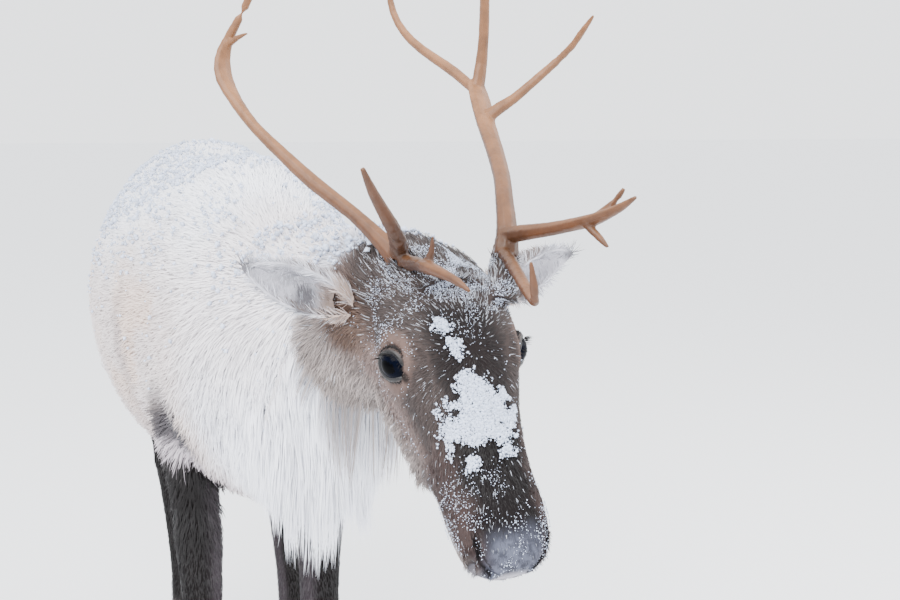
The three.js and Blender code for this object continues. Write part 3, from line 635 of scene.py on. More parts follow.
# In millimetres and degrees. Places on the head are left, ahead and up in its own frame, and
# those of two numbers are ahead and up.
EAR_LENGTH = 128.0
TAIL_LINE = np.array([[20, 906, 930], [21, 934, 876], [21, 940, 824], [21, 938, 780]], float)
EYE = np.array([57.5, 84.5, -43.0])
EYE_RADIUS = 17.2
EYE_FACING = (0.873, 0.363, 0.327)
EYE_TILT = -24.0
DISH = 15.0
DISH_EDGE = (23.5, 19.0)
NOSTRIL_DEPTH = 4.5
NAPE_LEAN = 17.0
NAPE = (-62.0, -75.0)
CORE_UP = -72.0
WHORL = np.array([3.0, 96.0, 0.0])
PIT = np.array([[24.0, 270.0, -61.0], [24.5, 267.0, -68.0], [24.0, 272.0, -54.0]])
PIT_RADIUS = 12.5
BRIDGE_TRAIL = np.array([[-19, 88, -3], [-14, 104, -4], [-6, 128, -8]], float)
NOSTRIL_LINE = np.array([[35, 264, -37], [32, 286, -46], [19, 297, -59], [11, 300, -62]], float)
JAW_LINE = np.array(
    [[-40, -165], [56, -171], [114, -170], [145, -159], [180, -140], [212, -120], [240, -106], [290, -90]],
    float,
)
MOUTH_LINE = np.array([[205, -93.5], [230, -90.5], [255, -87], [280, -80], [300, -72.5]], float)


def near_line(points: Array, line: Array) -> Array:
    """The distance from each point to a line of straight stretches.

    Args:
        points: places, in the line's own frame.
        line: the points of the line.

    Returns:
        The distances, in the line's unit.
    """
    best = np.full(len(points), np.inf)
    for start, end in zip(line[:-1], line[1:]):
        way = end - start
        share = np.clip((points - start) @ way / (way @ way), 0, 1)
        best = np.minimum(best, np.linalg.norm(points - start - share[:, None] * way, axis=1))
    return best


@dataclass(frozen=True)
class Spot:
    """A soft round mark: its middle and its reach, in millimetres."""

    place: tuple[float, float, float]
    reach: float

    def mask(self, points: Array) -> Array:
        """Its share at each point: 1 round its middle, and 0 past its reach."""
        away = np.linalg.norm(points - np.array(self.place), axis=1)
        return step(self.reach, self.reach * 0.35, away)


# Marks of the trunk in its frame, and of the head in the head's.
ELBOW = Spot((119, -62, 654), 98)
BREAST_TUFT = Spot((58, -252, 636), 36)
CHEST_TUFT = Spot((0, 10, 545), 90)
TEMPLE = Spot((76, 8, -92), 50)
CANTHUS = Spot((58, 104, -34), 9)
FROSTED_CROWN = Spot((26, 30, -8), 60)
CROWN_DRIFT = Spot((26, 30, -8), 62)


class Span:
    """Stretches over which the coat changes, each from where a change starts to where it ends.

    They are heights over the floor, places behind the forelegs, places in the head's own frame,
    or distances from the line, mark or edge that they are used with. All are in millimetres,
    apart from slopes, which are the upward part of the skin's normal.
    """

    back_slope: Stretch = (0.25, 0.8)
    belly_slope: Stretch = (-0.1, -0.6)
    throat_slope: Stretch = (0.25, -0.4)
    breast: Stretch = (-95, -215)
    neck_colour: Stretch = (-120, -220)
    nape_colour: Stretch = (-400, -450)
    forelegs: Stretch = (330, 250)
    before_forelegs: Stretch = (-95, -125)
    behind_forelegs: Stretch = (30, 60)
    before_hind_legs: Stretch = (590, 550)
    leg_hair: Stretch = (545, 480)
    fetlock_hair: Stretch = (185, 130)
    fetlock_colour: Stretch = (128, 96)
    leg_darkens: Stretch = (0, -44)
    pale_band: Stretch = (26, 8)
    from_tail: Stretch = (62, 44)
    crease_width: Stretch = (40, 10)
    crease_height: Stretch = (900, 780)
    nape: Stretch = (-2, 30)
    from_core: Stretch = (158, 138)
    jaw_hair: Stretch = (52, 20)
    jaw_hair_end: Stretch = (232, 180)
    jaw_colour: Stretch = (62, 26)
    face_height: Stretch = (-112, -84)
    face_start: Stretch = (20, 44)
    face_end: Stretch = (165, 195)
    crown_height: Stretch = (-92, -60)
    crown_end: Stretch = (52, 24)
    ruff_height: Stretch = (-22, -48)
    ruff_end: Stretch = (34, 8)
    forehead_height: Stretch = (-88, -58)
    forehead_end: Stretch = (190, 160)
    brow_start: Stretch = (40, 66)
    brow_width: Stretch = (40, 22)
    bridge_start: Stretch = (150, 186)
    bridge_width: Stretch = (38, 24)
    bridge_height: Stretch = (-46, -34)
    muzzle_over_jaw: Stretch = (24, 40)
    muzzle_hair: Stretch = (214, 246)
    nose_hair: Stretch = (266, 286)
    pad_start: Stretch = (256, 290)
    pad_width: Stretch = (36, 16)
    lips_start: Stretch = (210, 240)
    lips_width: Stretch = (8, 4)
    mouth_start: Stretch = (206, 214)
    mouth_end: Stretch = (284, 268)
    mouth_width: Stretch = (3, 1.4)
    lid_hair: Stretch = (36, 27)
    eye_ring: Stretch = (36, 24)
    lid_colour: Stretch = (18.8, 17.4)


@dataclass
class Anatomy:
    """What lies where: reads points of the skin as places of the body, in millimetres."""

    points: Array
    normals: Array
    part: Array

    def __post_init__(self) -> None:
        """Works out the places once."""
        self.body = (self.points - ORIGIN) / MM
        self.head_place = HEAD.inside(self.points)
        left, ahead, up = self.head_place.T
        away = np.hypot(left, up - CORE_UP)
        lean = math.radians(NAPE_LEAN)
        past_nape = (ahead - NAPE[0]) * math.cos(lean) + (up - NAPE[1]) * math.sin(lean)
        self.in_head = step(*Span.nape, past_nape) * step(*Span.from_core, away)
        self.over_jaw = up - np.interp(ahead, JAW_LINE[:, 0], JAW_LINE[:, 1])
        self.in_ear = self.part >= Part.LEFT_EAR.value
        self.in_head = np.where(self.in_ear, 1.0, self.in_head)
        self.folded = self.head_place.copy()
        self.folded[:, 0] = np.abs(left)
        self.from_eye = np.linalg.norm(self.folded - EYE, axis=1)

    def nostril(self) -> Array:
        """How deep in a nostril a point is: over 1 inside it."""
        return 1.4 - near_line(self.folded, NOSTRIL_LINE) / 3.4

    def mouth(self) -> Array:
        """The distance from the line of the mouth.

        Returns:
            The distances, in millimetres.
        """
        _, ahead, up = self.head_place.T
        off = np.stack([ahead, up], 1)
        return near_line(off, MOUTH_LINE)

    def kinds(self) -> Array:
        """The share that each kind of hair has at each point: a row a point, a column a kind.

        Returns:
            The shares.
        """
        _, y, z = self.body.T
        _, ahead, up = self.head_place.T
        slope = self.normals[:, 2]
        head = self.in_head
        neck = step(*Span.breast, y)
        jaw = step(*Span.jaw_hair, self.over_jaw) * step(*Span.jaw_hair_end, ahead)
        layers = [
            (Kind.BACK, step(*Span.back_slope, slope)),
            (Kind.BELLY, step(*Span.belly_slope, slope)),
            (Kind.NECK, neck),
            (Kind.THROAT, neck * step(*Span.throat_slope, slope)),
            (Kind.LEG, step(*Span.leg_hair, z) * (1 - head)),
            (Kind.FETLOCK, step(*Span.fetlock_hair, z)),
            (Kind.TAIL, step(*Span.from_tail, near_line(self.body, TAIL_LINE))),
            (Kind.CHEEK, head),
            (Kind.JAW, head * jaw),
            (Kind.FACE, head * step(*Span.face_height, up) * step(*Span.face_start, ahead)),
            (Kind.CROWN, head * step(*Span.crown_end, ahead) * step(*Span.crown_height, up)),
            (Kind.RUFF, head * step(*Span.ruff_end, ahead) * step(*Span.ruff_height, up)),
            (Kind.FACE, head * step(*Span.face_end, ahead)),
            (Kind.MUZZLE, head * step(*Span.muzzle_hair, ahead)),
            (Kind.NOSE, head * step(*Span.nose_hair, ahead)),
            (Kind.LIDS, head * step(*Span.lid_hair, self.from_eye)),
            (Kind.EAR, self.in_ear.astype(float)),
        ]
        shares = np.zeros((len(self.points), len(KINDS)))
        shares[:, KINDS.index(Kind.FLANK)] = 1
        for kind, mask in layers:
            shares *= (1 - mask)[:, None]
            shares[:, KINDS.index(kind)] += mask
        return shares

    def growth(self) -> Array:
        """Density, length, width, lift and depth at each point."""
        return self.kinds() @ GROWTH_TABLE

    def bare(self) -> Array:
        """Where no hair grows: in the nostrils, between the lips and under the lids.

        Returns:
            The share of each point that is bare, from 0 to 1.
        """
        inside = step(0.45, 0.6, self.nostril())
        lips = step(1.6, 0.8, self.mouth()) * step(*Span.mouth_start, self.head_place[:, 1])
        eye = step(EYE_RADIUS + 3.2, EYE_RADIUS + 2.2, self.from_eye)
        return np.clip(inside + lips + eye, 0, 1) * (~self.in_ear)

    def frosted(self) -> Array:
        """The share of the hair that is whitened by frost.

        Returns:
            The shares.
        """
        _, ahead, up = self.head_place.T
        crown = 0.2 * step(105, 20, ahead) * step(-80, -20, up)
        crown += 0.25 * FROSTED_CROWN.mask(self.head_place)
        muzzle = 0.08 * step(190, 250, ahead)
        head = self.in_head * (0.02 + np.maximum(crown, muzzle))
        drift = step(0.3, 0.7, noise(self.points, 0.016, 33))
        return np.where(self.in_ear, 0.25, head * (0.4 + 0.6 * drift))

    def lie(self) -> Array:
        """The way that the hair lies, as directions along the skin.

        Returns:
            Directions of length one.
        """
        _, y, z = self.body.T
        slope = np.abs(self.normals[:, 2])
        down = np.array([0.0, 0.0, -1.0])
        back = np.array([0.0, 1.0, 0.0])
        neck = step(-60, -260, y)[:, None]
        flank = (1 - slope)[:, None]
        trunk = back + down * (0.30 + 0.55 * neck) * flank
        under = step(0.2, -0.5, self.normals[:, 2])[:, None]
        trunk = trunk * (1 - 0.5 * neck * under) + down * 1.6 * neck * under
        shoulder = (step(700, 560, z) * step(-170, -60, y) * step(150, 60, y))[:, None]
        haunch = (step(760, 600, z) * step(560, 680, y))[:, None]
        trunk = trunk * (1 - 0.6 * np.maximum(shoulder, haunch))
        trunk = trunk + down * np.maximum(shoulder, haunch)
        leg = step(560, 470, z)[:, None]
        way = trunk * (1 - leg) + (down + back * 0.12) * leg
        tail = step(*Span.from_tail, near_line(self.body, TAIL_LINE))[:, None]
        way = way * (1 - tail) + (down + back * 0.2) * tail
        way = np.where(self.in_head[:, None] > 0.02, self.mixed_with_head(way), way)
        way = way + noise_vectors(self.points, 0.035, 11) * 0.16
        way = way + noise_vectors(self.points, 0.011, 21) * 0.13
        way -= self.normals * (way * self.normals).sum(1, keepdims=True)
        return unit(way)

    def mixed_with_head(self, way: Array) -> Array:
        """The trunk's lie passing over into the head's.

        Args:
            way: a direction at each point.

        Returns:
            The mixed directions.
        """
        left, ahead, up = self.head_place.T
        away = self.head_place - WHORL
        jaw = step(-62, -112, up) * step(225, 180, ahead)
        side = np.sign(left)
        cheek = np.stack([side * 0.1, np.full(len(left), 0.25), np.full(len(left), -1.0)], 1)
        muzzle = step(170, 240, ahead)[:, None]
        forward = np.stack([side * 0.15, np.ones(len(left)), np.full(len(left), -0.25)], 1)
        mixed = unit(away) * (1 - jaw[:, None]) + cheek * jaw[:, None]
        mixed = mixed * (1 - muzzle) + forward * muzzle
        nape = step(10, -40, ahead)[:, None]
        mixed = mixed * (1 - nape) + np.array([0.0, -1.0, -0.35]) * nape
        turned = (mixed * np.array([1, -1, 1])) @ np.array(HEAD.matrix().to_3x3()).T
        share = self.in_head[:, None]
        return unit(way) * (1 - share) + unit(turned) * share


def almond_axes() -> tuple[Array, Array]:
    """The long way and the high way of the opening of the lids, on the animal's left.

    Returns:
        Both directions, in the head's frame.
    """
    facing = Vector(EYE_FACING).normalized()
    facing.y = -facing.y
    level = Vector((0, 0, 1)).cross(facing).normalized()
    tall = facing.cross(level)
    tilt = math.radians(EYE_TILT)
    long_way = level * math.cos(tilt) + tall * math.sin(tilt)
    high_way = tall * math.cos(tilt) - level * math.sin(tilt)
    flip = np.array([1, -1, 1])
    return np.array(long_way) * flip, np.array(high_way) * flip


@dataclass(frozen=True)
class EarFrame:
    """An ear's own frame: its root, the way it points and the way its cup opens."""

    side: float

    def axes(self) -> tuple[Array, Array, Array]:
        """The root in the part's frame, and the directions along the ear and out of its cup.

        Returns:
            The root, the direction along the ear and the one out of its cup.
        """
        reach = (122, 14, 38) if self.side > 0 else (117, 15, 46)
        spin = Matrix.Rotation(math.radians(HEAD.turn), 3, "Z")
        along = (spin @ Vector((self.side * reach[0], reach[1], reach[2]))).normalized()
        opening = spin @ Vector((self.side * 0.12, -0.88, -0.36))
        opening = (opening - along * opening.dot(along)).normalized()
        return HEAD.outside(self.side * 64, 0, -84), np.array(along), np.array(opening)


# The colours of the coat


class Palette:
    """The coat's colours as they show in soft daylight."""

    flank: Array = linear(222, 215, 214)
    warm: Array = linear(226, 206, 190)
    # Painted light: paler and bluer than the flank where the skin faces up.
    back: Array = linear(238, 239, 243)
    # Painted shade: darker than the flank where the skin faces down.
    belly: Array = linear(204, 196, 197)
    tuft: Array = linear(132, 128, 138)
    # Painted shade in the crease behind the shoulder.
    crease: Array = linear(196, 186, 184)
    elbow: Array = linear(84, 82, 90)
    band: Array = linear(218, 211, 216)
    leg: Array = linear(39, 31, 32)
    inner_leg: Array = linear(92, 86, 90)
    fetlock: Array = linear(150, 144, 143)
    neck: Array = linear(234, 231, 233)
    throat: Array = linear(236, 237, 242)
    nape: Array = linear(200, 202, 210)
    tail: Array = linear(232, 229, 229)
    cheek: Array = linear(142, 128, 124)
    jaw: Array = linear(168, 160, 157)
    temple: Array = linear(122, 105, 96)
    forehead: Array = linear(96, 88, 86)
    brow: Array = linear(62, 55, 55)
    bridge: Array = linear(46, 40, 41)
    muzzle: Array = linear(96, 84, 82)
    nose: Array = linear(128, 131, 144)
    lip: Array = linear(182, 180, 186)
    eye_ring: Array = linear(136, 120, 114)
    lid: Array = linear(34, 29, 30)
    # Dark bare skin of the nostrils and of the slit between the lips, deepened with painted shade of these
    # hollows.
    flesh: Array = linear(38, 33, 36)
    ear: Array = linear(152, 143, 140)
    ear_tip: Array = linear(208, 214, 222)
    ear_inside: Array = linear(210, 209, 215)
    ear_spot: Array = linear(74, 68, 70)
    ear_root: Array = linear(196, 176, 162)


# In millimetres: the crease behind the shoulder, where shade is painted, with its lean back as a
# share of the height, and what places the dark hair of the legs.
CREASE_Y = 84.0
CREASE_Z = 700.0
CREASE_LEAN = 0.12
FORELEG_TOP = 664.0
HIND_LEG_TOP = 660.0
LEG_FRINGE = 14.0
BAND_DROP = 30.0
LEGS_MIDDLE = 8.0


@dataclass
class Markings:
    """The colours of skin and coat, worked out from where each point lies."""

    where: Anatomy

    def colours(self) -> Array:
        """The colour of each point, in linear light.

        Returns:
            The colours, a row a point.
        """
        made = np.tile(Palette.flank, (len(self.where.points), 1))
        for mask, colour in [*self.trunk(), *self.legs(), *self.head(), *self.ears()]:
            made += (colour - made) * np.clip(mask, 0, 1)[:, None]
        mottle = 0.94 + 0.12 * noise(self.where.points, 0.022, 3)
        fine = 0.93 + 0.14 * noise(self.where.points, 0.006, 5)
        return made * (mottle * fine)[:, None]

    def trunk(self) -> list[tuple[Array, Array]]:
        """Layers of the trunk, neck and tail.

        Returns:
            Masks with their colours, each over those before it.
        """
        x, y, z = self.where.body.T
        slope = self.where.normals[:, 2]
        wander = 30 * (noise(self.where.points, 0.05, 8) - 0.5)
        neck = step(*Span.neck_colour, y)
        sides = np.stack([np.abs(x), y, z], 1)
        off_crease = np.abs(y - CREASE_Y - CREASE_LEAN * (z - CREASE_Z) + wander)
        crease = step(*Span.crease_width, off_crease) * step(*Span.crease_height, z)
        tail = step(*Span.from_tail, near_line(self.where.body, TAIL_LINE))
        nape = step(*Span.nape_colour, y) * step(0.2, 0.6, slope)
        return [
            (0.5 * step(0.45, 0.75, noise(self.where.points, 0.07, 35)), Palette.warm),
            # Painted light where the skin faces up, and painted shade where it faces down.
            (step(0.05, 0.7, slope), Palette.back),
            (step(-0.15, -0.75, slope), Palette.belly),
            # Painted shade along the crease behind the shoulder.
            (0.7 * crease, Palette.crease),
            (neck, Palette.neck),
            (neck * step(0.1, -0.4, slope), Palette.throat),
            (0.8 * nape, Palette.nape),
            (CHEST_TUFT.mask(sides), Palette.tuft),
            (0.6 * BREAST_TUFT.mask(sides), Palette.tuft),
            (0.95 * ELBOW.mask(sides + wander[:, None] * 0.5), Palette.elbow),
            (tail, Palette.tail),
        ]

    def legs(self) -> list[tuple[Array, Array]]:
        """Layers of the legs.

        Returns:
            Masks with their colours, each over those before it.
        """
        x, y, z = self.where.body.T
        wander = 34 * (noise(self.where.points, 0.03, 9) - 0.5)
        front = step(*Span.forelegs, y)
        top = FORELEG_TOP * front + HIND_LEG_TOP * (1 - front)
        facing_in = -np.sign(x - LEGS_MIDDLE) * self.where.normals[:, 0]
        belly = step(*Span.behind_forelegs, y) * step(*Span.before_hind_legs, y)
        on_legs = 1 - np.maximum(belly, step(*Span.before_forelegs, y))
        on_legs *= 1 - self.where.in_head
        dark = step(*Span.leg_darkens, z - top + wander + LEG_FRINGE) * on_legs
        band = step(*Span.pale_band, np.abs(z - top + BAND_DROP + wander)) * on_legs
        return [
            (0.8 * band * front, Palette.band),
            (dark, Palette.leg),
            (dark * step(0.1, 0.75, facing_in), Palette.inner_leg),
            (step(*Span.fetlock_colour, z), Palette.fetlock),
        ]

    def head(self) -> list[tuple[Array, Array]]:
        """Layers of the head.

        Returns:
            Masks with their colours, each over those before it.
        """
        left, ahead, up = self.where.head_place.T
        head = self.where.in_head * (~self.where.in_ear)
        folded = self.where.folded
        over_jaw = self.where.over_jaw
        from_eye = self.where.from_eye
        wander = 12 * (noise(self.where.points, 0.02, 12) - 0.5)
        broad = np.abs(left) + wander
        mouth = self.where.mouth()
        forehead = step(*Span.forehead_height, up + wander) * step(*Span.forehead_end, ahead)
        beyond_cheek = step(*Span.bridge_start, ahead)
        bridge = step(*Span.bridge_width, broad) * beyond_cheek * step(*Span.bridge_height, up)
        pad = step(*Span.pad_start, ahead + wander * 1.6)
        pad *= step(*Span.pad_width, np.abs(left) + wander * 0.8)
        mottled = step(0.45, 0.62, noise(self.where.points, 0.0036, 41))
        lips = step(*Span.lips_start, ahead) * step(*Span.lips_width, mouth)
        slit = step(*Span.mouth_start, ahead) * step(*Span.mouth_end, ahead)
        return [
            (head, Palette.cheek),
            (head * forehead, Palette.forehead),
            (head * TEMPLE.mask(folded), Palette.temple),
            (head * step(*Span.jaw_colour, over_jaw + wander), Palette.jaw),
            (head * step(*Span.brow_width, broad) * step(*Span.brow_start, ahead), Palette.brow),
            (head * beyond_cheek * step(*Span.muzzle_over_jaw, over_jaw), Palette.muzzle),
            (head * bridge, Palette.bridge),
            (0.9 * head * pad, Palette.nose),
            (0.6 * head * pad * mottled, Palette.bridge),
            (head * lips, Palette.lip),
            (0.8 * head * step(*Span.eye_ring, from_eye + wander * 0.5), Palette.eye_ring),
            (head * step(*Span.lid_colour, from_eye), Palette.lid),
            (0.9 * head * CANTHUS.mask(folded), Palette.lid),
            # Painted shade in the nostrils and in the slit between the lips, over their dark bare skin.
            (head * step(0.0, 0.5, self.where.nostril()), Palette.flesh),
            (head * slit * step(*Span.mouth_width, mouth), Palette.flesh),
        ]

    def ears(self) -> list[tuple[Array, Array]]:
        """Layers of the ears.

        Returns:
            Masks with their colours, each over those before it.
        """
        layers = []
        for part, side in ((Part.LEFT_EAR, 1.0), (Part.RIGHT_EAR, -1.0)):
            root, along, opening = EarFrame(side).axes()
            mine = self.where.part == part.value
            off = (self.where.points - root) / MM
            share = off @ along / EAR_LENGTH
            inside = mine * step(0.0, 0.4, self.where.normals @ opening)
            spots = step(0.62, 0.74, noise(self.where.points, 0.013, 17)) * step(0.85, 0.6, share)
            lower = step(6, -6, off[:, 2] - along[2] * share * EAR_LENGTH)
            layers += [
                (mine, Palette.ear),
                (mine * step(0.55, 0.95, share), Palette.ear_tip),
                (inside, Palette.ear_inside),
                (0.3 * inside * spots, Palette.ear_spot),
                (0.8 * inside * step(0.36, 0.2, share), Palette.ear_root),
                (0.75 * inside * step(0.13, 0.04, np.abs(share - 0.42)) * lower, Palette.ear_spot),
                (0.75 * mine * step(0.88, 0.97, share), Palette.ear_spot),
            ]
        return layers


# The skin


FORE_ENDS = ("upper_arm", "forearm", "cannon", "pastern")
HIND_ENDS = ("thigh", "shank", "cannon", "pastern")
LIMBS = tuple(
    f"{leg}_{end}" for leg in LEGS for end in (FORE_ENDS if "front" in leg else HIND_ENDS)
)
TRUNK_NODES = ("rump", "barrel", "chest", "neck")


def solid_of(name: str) -> tuple[Array, Array]:
    """The points and triangles of one of the frame's solids.

    Args:
        name: its name.

    Returns:
        The points and the triangles.
    """
    solid = bpy.data.objects[name]
    points, faces = triangles_of(solid)
    turn = np.array(solid.matrix_world)
    return points @ turn[:3, :3].T + turn[:3, 3], faces


def ball(centre: Array, radius: float, rows: int = 16) -> tuple[Array, Array]:
    """A closed round ball.

    Args:
        centre: its middle, in metres.
        radius: its radius, in metres.
        rows: how many steps there are from pole to pole.

    Returns:
        The points and the triangles.
    """
    turn = np.linspace(0, math.pi, rows + 1)[1:-1]
    around = np.linspace(0, 2 * math.pi, 2 * rows, endpoint=False)
    high, wide = np.cos(turn)[:, None], np.sin(turn)[:, None]
    level = high * np.ones_like(around)
    rings = np.stack([wide * np.cos(around), wide * np.sin(around), level], -1)
    points, faces = capped_tube(rings * radius + centre)
    points[-2:] = centre + np.array([[0, 0, radius], [0, 0, -radius]])
    return points, faces[:, ::-1]


@dataclass
class Skin:
    """The one skin over the flesh, which the coat grows from."""

    voxel: float = 4 * MM
    head_voxel: float = 1.7 * MM
    ear_voxel: float = 1.6 * MM
    sides: int = 72
    spacing: float = 0.2
    body_rounds: int = 14
    head_rounds: int = 3
    neck_rounds: int = 24
    body_ratio: float = 0.45
    head_ratio: float = 0.45
    meeting: float = -404.0
    upper_neck: float = 11.2
    # The share of the coat's colour that the skin is painted with: painted shade under the hair.
    skin_tone: float = 0.92

    def build(self, finish: bpy.types.Material) -> tuple[bpy.types.Object, Surface]:
        """Makes the skin.

        Args:
            finish: its material.

        Returns:
            The object, and its surface for the coat.
        """
        shells = [self.body(), self.head(), *(self.ear(side) for side in SIDES)]
        numbers = [Part.BODY, Part.HEAD, Part.LEFT_EAR, Part.RIGHT_EAR]
        meshes = [triangles_of(shell) for shell in shells]
        for shell in shells:
            bpy.data.objects.remove(shell)
        part = np.concatenate(
            [np.full(len(points), number.value) for (points, _), number in zip(meshes, numbers)]
        )
        surface = Surface(*gathered(meshes), part)
        self.sink(surface)
        surface = Surface(surface.points, surface.triangles, part)
        surface.unwrap = Unwrap(surface).corners()
        skin = new_mesh("skin", surface.points, surface.triangles)
        where = Anatomy(surface.points, surface.normals, part)
        # The skin is painted darker than the coat, as painted shade under the hair.
        paint(skin, Markings(where).colours() * self.skin_tone)
        skin.data.uv_layers.new(name=BAKE_MAP).data.foreach_set(
            "uv", surface.unwrap.astype(np.float32).ravel()
        )
        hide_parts("head", "tail", "left_ear", "right_ear", *TRUNK_NODES, *LIMBS)
        return dress(skin, finish), surface

    def body(self) -> bpy.types.Object:
        """The trunk, legs and tail.

        Returns:
            The shell.
        """
        rings = trunk_rings(self.sides, self.spacing)
        shell = fused("body", [capped_tube(rings), solid_of("tail"), *map(solid_of, LIMBS)], self.voxel)
        points, _ = triangles_of(shell)
        high = (points[:, 2] - ORIGIN[2]) / MM
        weigh(shell, "soft", 0.35 + 0.65 * step(420, 600, high))
        return thinned(relaxed(shell, self.body_rounds, "soft"), self.body_ratio)

    def head(self) -> bpy.types.Object:
        """The head and the upper neck, which dives under the body's skin where they meet.

        Returns:
            The shell.
        """
        rings = trunk_rings(self.sides, self.spacing)[int(self.upper_neck / self.spacing) :]
        share = np.clip(1 - np.arange(len(rings)) / 5, 0, 1)[:, None, None]
        rings += (rings.mean(axis=1, keepdims=True) - rings) * 0.25 * share
        fillers = [(EYE, EYE_RADIUS), *((place, PIT_RADIUS) for place in PIT)]
        balls = [
            ball(HEAD.outside(side * left, ahead, up), radius * MM)
            for side in SIDES.values()
            for (left, ahead, up), radius in fillers
        ]
        parts = [capped_tube(rings), solid_of("head"), *balls]
        shell = fused("upper", parts, self.head_voxel)
        points, _ = triangles_of(shell)
        behind = step(10, -50, HEAD.inside(points)[:, 1])
        weigh(shell, "soft", behind)
        shell = relaxed(relaxed(shell, self.neck_rounds, "soft"), self.head_rounds)
        return thinned(shell, self.head_ratio)

    def ear(self, side: str) -> bpy.types.Object:
        """An ear."""
        return relaxed(fused(f"{side}_cup", [solid_of(f"{side}_ear")], self.ear_voxel), 2)

    def sink(self, surface: Surface) -> None:
        """Moves the skin in by the depth of its coat.

        Args:
            surface: the skin.
        """
        where = Anatomy(surface.points, surface.normals, surface.part)
        depth = where.growth()[:, GROWTH_FIELDS.index("depth")]
        depth = depth + NOSTRIL_DEPTH * step(0.3, 1.1, where.nostril())
        surface.points -= surface.normals * (depth * MM)[:, None]
        self.dish(surface)

    def dish(self, surface: Surface) -> None:
        """Draws the skin round each eye in, to just under the surface of the eyeball.

        Args:
            surface: the skin.
        """
        inside = HEAD.inside(surface.points)
        side = np.sign(inside[:, :1])
        eye = EYE * np.concatenate([side, np.ones((len(side), 2))], axis=1)
        off = inside - eye
        reach = np.linalg.norm(off, axis=1)
        pull = step(*DISH_EDGE, reach) * (surface.part == Part.HEAD.value)
        kept = np.where(pull > 0, np.minimum(reach, reach * (1 - pull) + DISH * pull), reach)
        moved = (eye + off * (kept / np.maximum(reach, 1e-6))[:, None]) * np.array([1, -1, 1]) * MM
        spin = np.array(HEAD.matrix())
        placed = moved @ spin[:3, :3].T + spin[:3, 3]
        surface.points[pull > 0] = placed[pull > 0]


@dataclass(frozen=True)
class Sheet:
    """A rectangle of the unwrap, and where along a part it starts and ends."""

    left: float
    low: float
    wide: float
    high: float
    start: float
    end: float

    def lay(self, along: Array, around: Array) -> Array:
        """Places along and round a part, on this rectangle; around is in turns.

        Args:
            along: how far along the part.
            around: how far round it, in turns.

        Returns:
            The places on the unwrap.
        """
        seam = (around.max(axis=1, keepdims=True) - around < 0.5) | (around > 0.5)
        turns = np.where(seam, around, around + 1)
        share = np.clip((along - self.start) / (self.end - self.start), 0, 1)
        return np.stack([self.left + self.wide * share, self.low + self.high * turns / 1.2], -1)


@dataclass
class Unwrap:
    """The skin laid out flat: each part in a rectangle of its own."""

    surface: Surface

    def corners(self) -> Array:
        """The place of each corner of each triangle.

        Returns:
            The places, three to a triangle.
        """
        points, triangles = self.surface.points, self.surface.triangles
        body = (points - ORIGIN) / MM
        head = HEAD.inside(points)
        part = self.surface.part[triangles[:, 0]]
        middle = body[triangles].mean(axis=1)
        made = np.zeros((len(triangles), 3, 2))

        def fill(chosen: Array, sheet: Sheet, along: Array, high: Array, wide: Array) -> None:
            """Lays the chosen triangles on a sheet.

            Args:
                chosen: which triangles.
                sheet: the rectangle.
                along: each point's place along the part.
                high: its distance from the core one way across it.
                wide: its distance from the core the other way across it.
            """
            turns = np.arctan2(high, wide) / (2 * math.pi) + 0.5
            rows = triangles[chosen]
            made[chosen] = sheet.lay(along[rows], turns[rows])

        order = np.argsort(TRUNK_TABLE[:, 1])
        rows = TRUNK_TABLE[order]
        x, y, z = body.T
        core_x, core_z = (np.interp(y, rows[:, 1], rows[:, column]) for column in (0, 2))
        in_body = part == Part.BODY.value
        fill(in_body, Sheet(0.01, 0.01, 0.56, 0.48, -420, 940), y, z - core_z, x - core_x)
        tail = in_body & (near_line(middle, TAIL_LINE) < 50)
        fill(tail, Sheet(0.85, 0.5, 0.14, 0.28, 760, 960), z, y - 925, x - 21)
        for number, leg in enumerate(LEGS):
            ahead = 1 if "front" in leg else -1
            mine = in_body & (middle[:, 2] < 575) & (middle[:, 0] * SIDES[leg.split("_")[0]] > 0)
            mine &= (middle[:, 1] - 300) * ahead < 0
            members = np.unique(triangles[mine])
            levels = np.linspace(0, 600, 25)
            place = np.digitize(z[members], levels)
            counts = np.maximum(np.bincount(place, minlength=26), 1)
            core = [np.bincount(place, axis[members], 26) / counts for axis in (x, y)]
            filled = np.bincount(place, minlength=26) > 0
            heights = (np.arange(26) - 0.5)[filled] * 25
            across, back = (np.interp(z, heights, axis[filled]) for axis in core)
            sheet = Sheet(0.01 + 0.21 * number, 0.5, 0.2, 0.28, 0, 600)
            fill(mine, sheet, z, y - back, x - across)
        in_head = part == Part.HEAD.value
        fill(in_head, Sheet(0.58, 0.01, 0.41, 0.48, -200, 310), head[:, 1], head[:, 2] + 60, head[:, 0])
        for number, side in enumerate(SIDES.values()):
            root, along, opening = EarFrame(side).axes()
            off = (points - root) / MM
            across = np.cross(along, opening)
            core = off - along * (off @ along)[:, None] - opening * 4
            ear = part == (Part.LEFT_EAR, Part.RIGHT_EAR)[number].value
            outward = (self.surface.normals * core).sum(axis=1)[triangles].mean(axis=1) > 0
            for layer, chosen in enumerate((ear & outward, ear & ~outward)):
                sheet = Sheet(0.01 + 0.245 * (2 * number + layer), 0.8, 0.235, 0.18, 0, 130)
                fill(chosen, sheet, off @ along, core @ across, core @ opening)
        return made


# The coat


# The size of a tuft's patch on the unwrap, and the most triangles of one piece of coat.
PATCH = 0.003
PIECE_LIMIT = 190000


@dataclass(frozen=True)
class Strand:
    """The form and tone of the tufts of one part of the coat.

    sections are the places along a tuft where it has points, the root's tone darkens it there as painted
    shade deep in the coat and the tip's tone lightens it there as painted light, spread is how much one
    tuft's tone differs from the next, and relief how far each one catches the light on its own.
    """

    name: str
    slot: str
    sections: tuple[float, ...]
    root_tone: float
    tip_tone: float
    spread: float
    relief: float

    def triangles(self) -> int:
        """The triangles of one tuft."""
        return 2 * len(self.sections) - 3


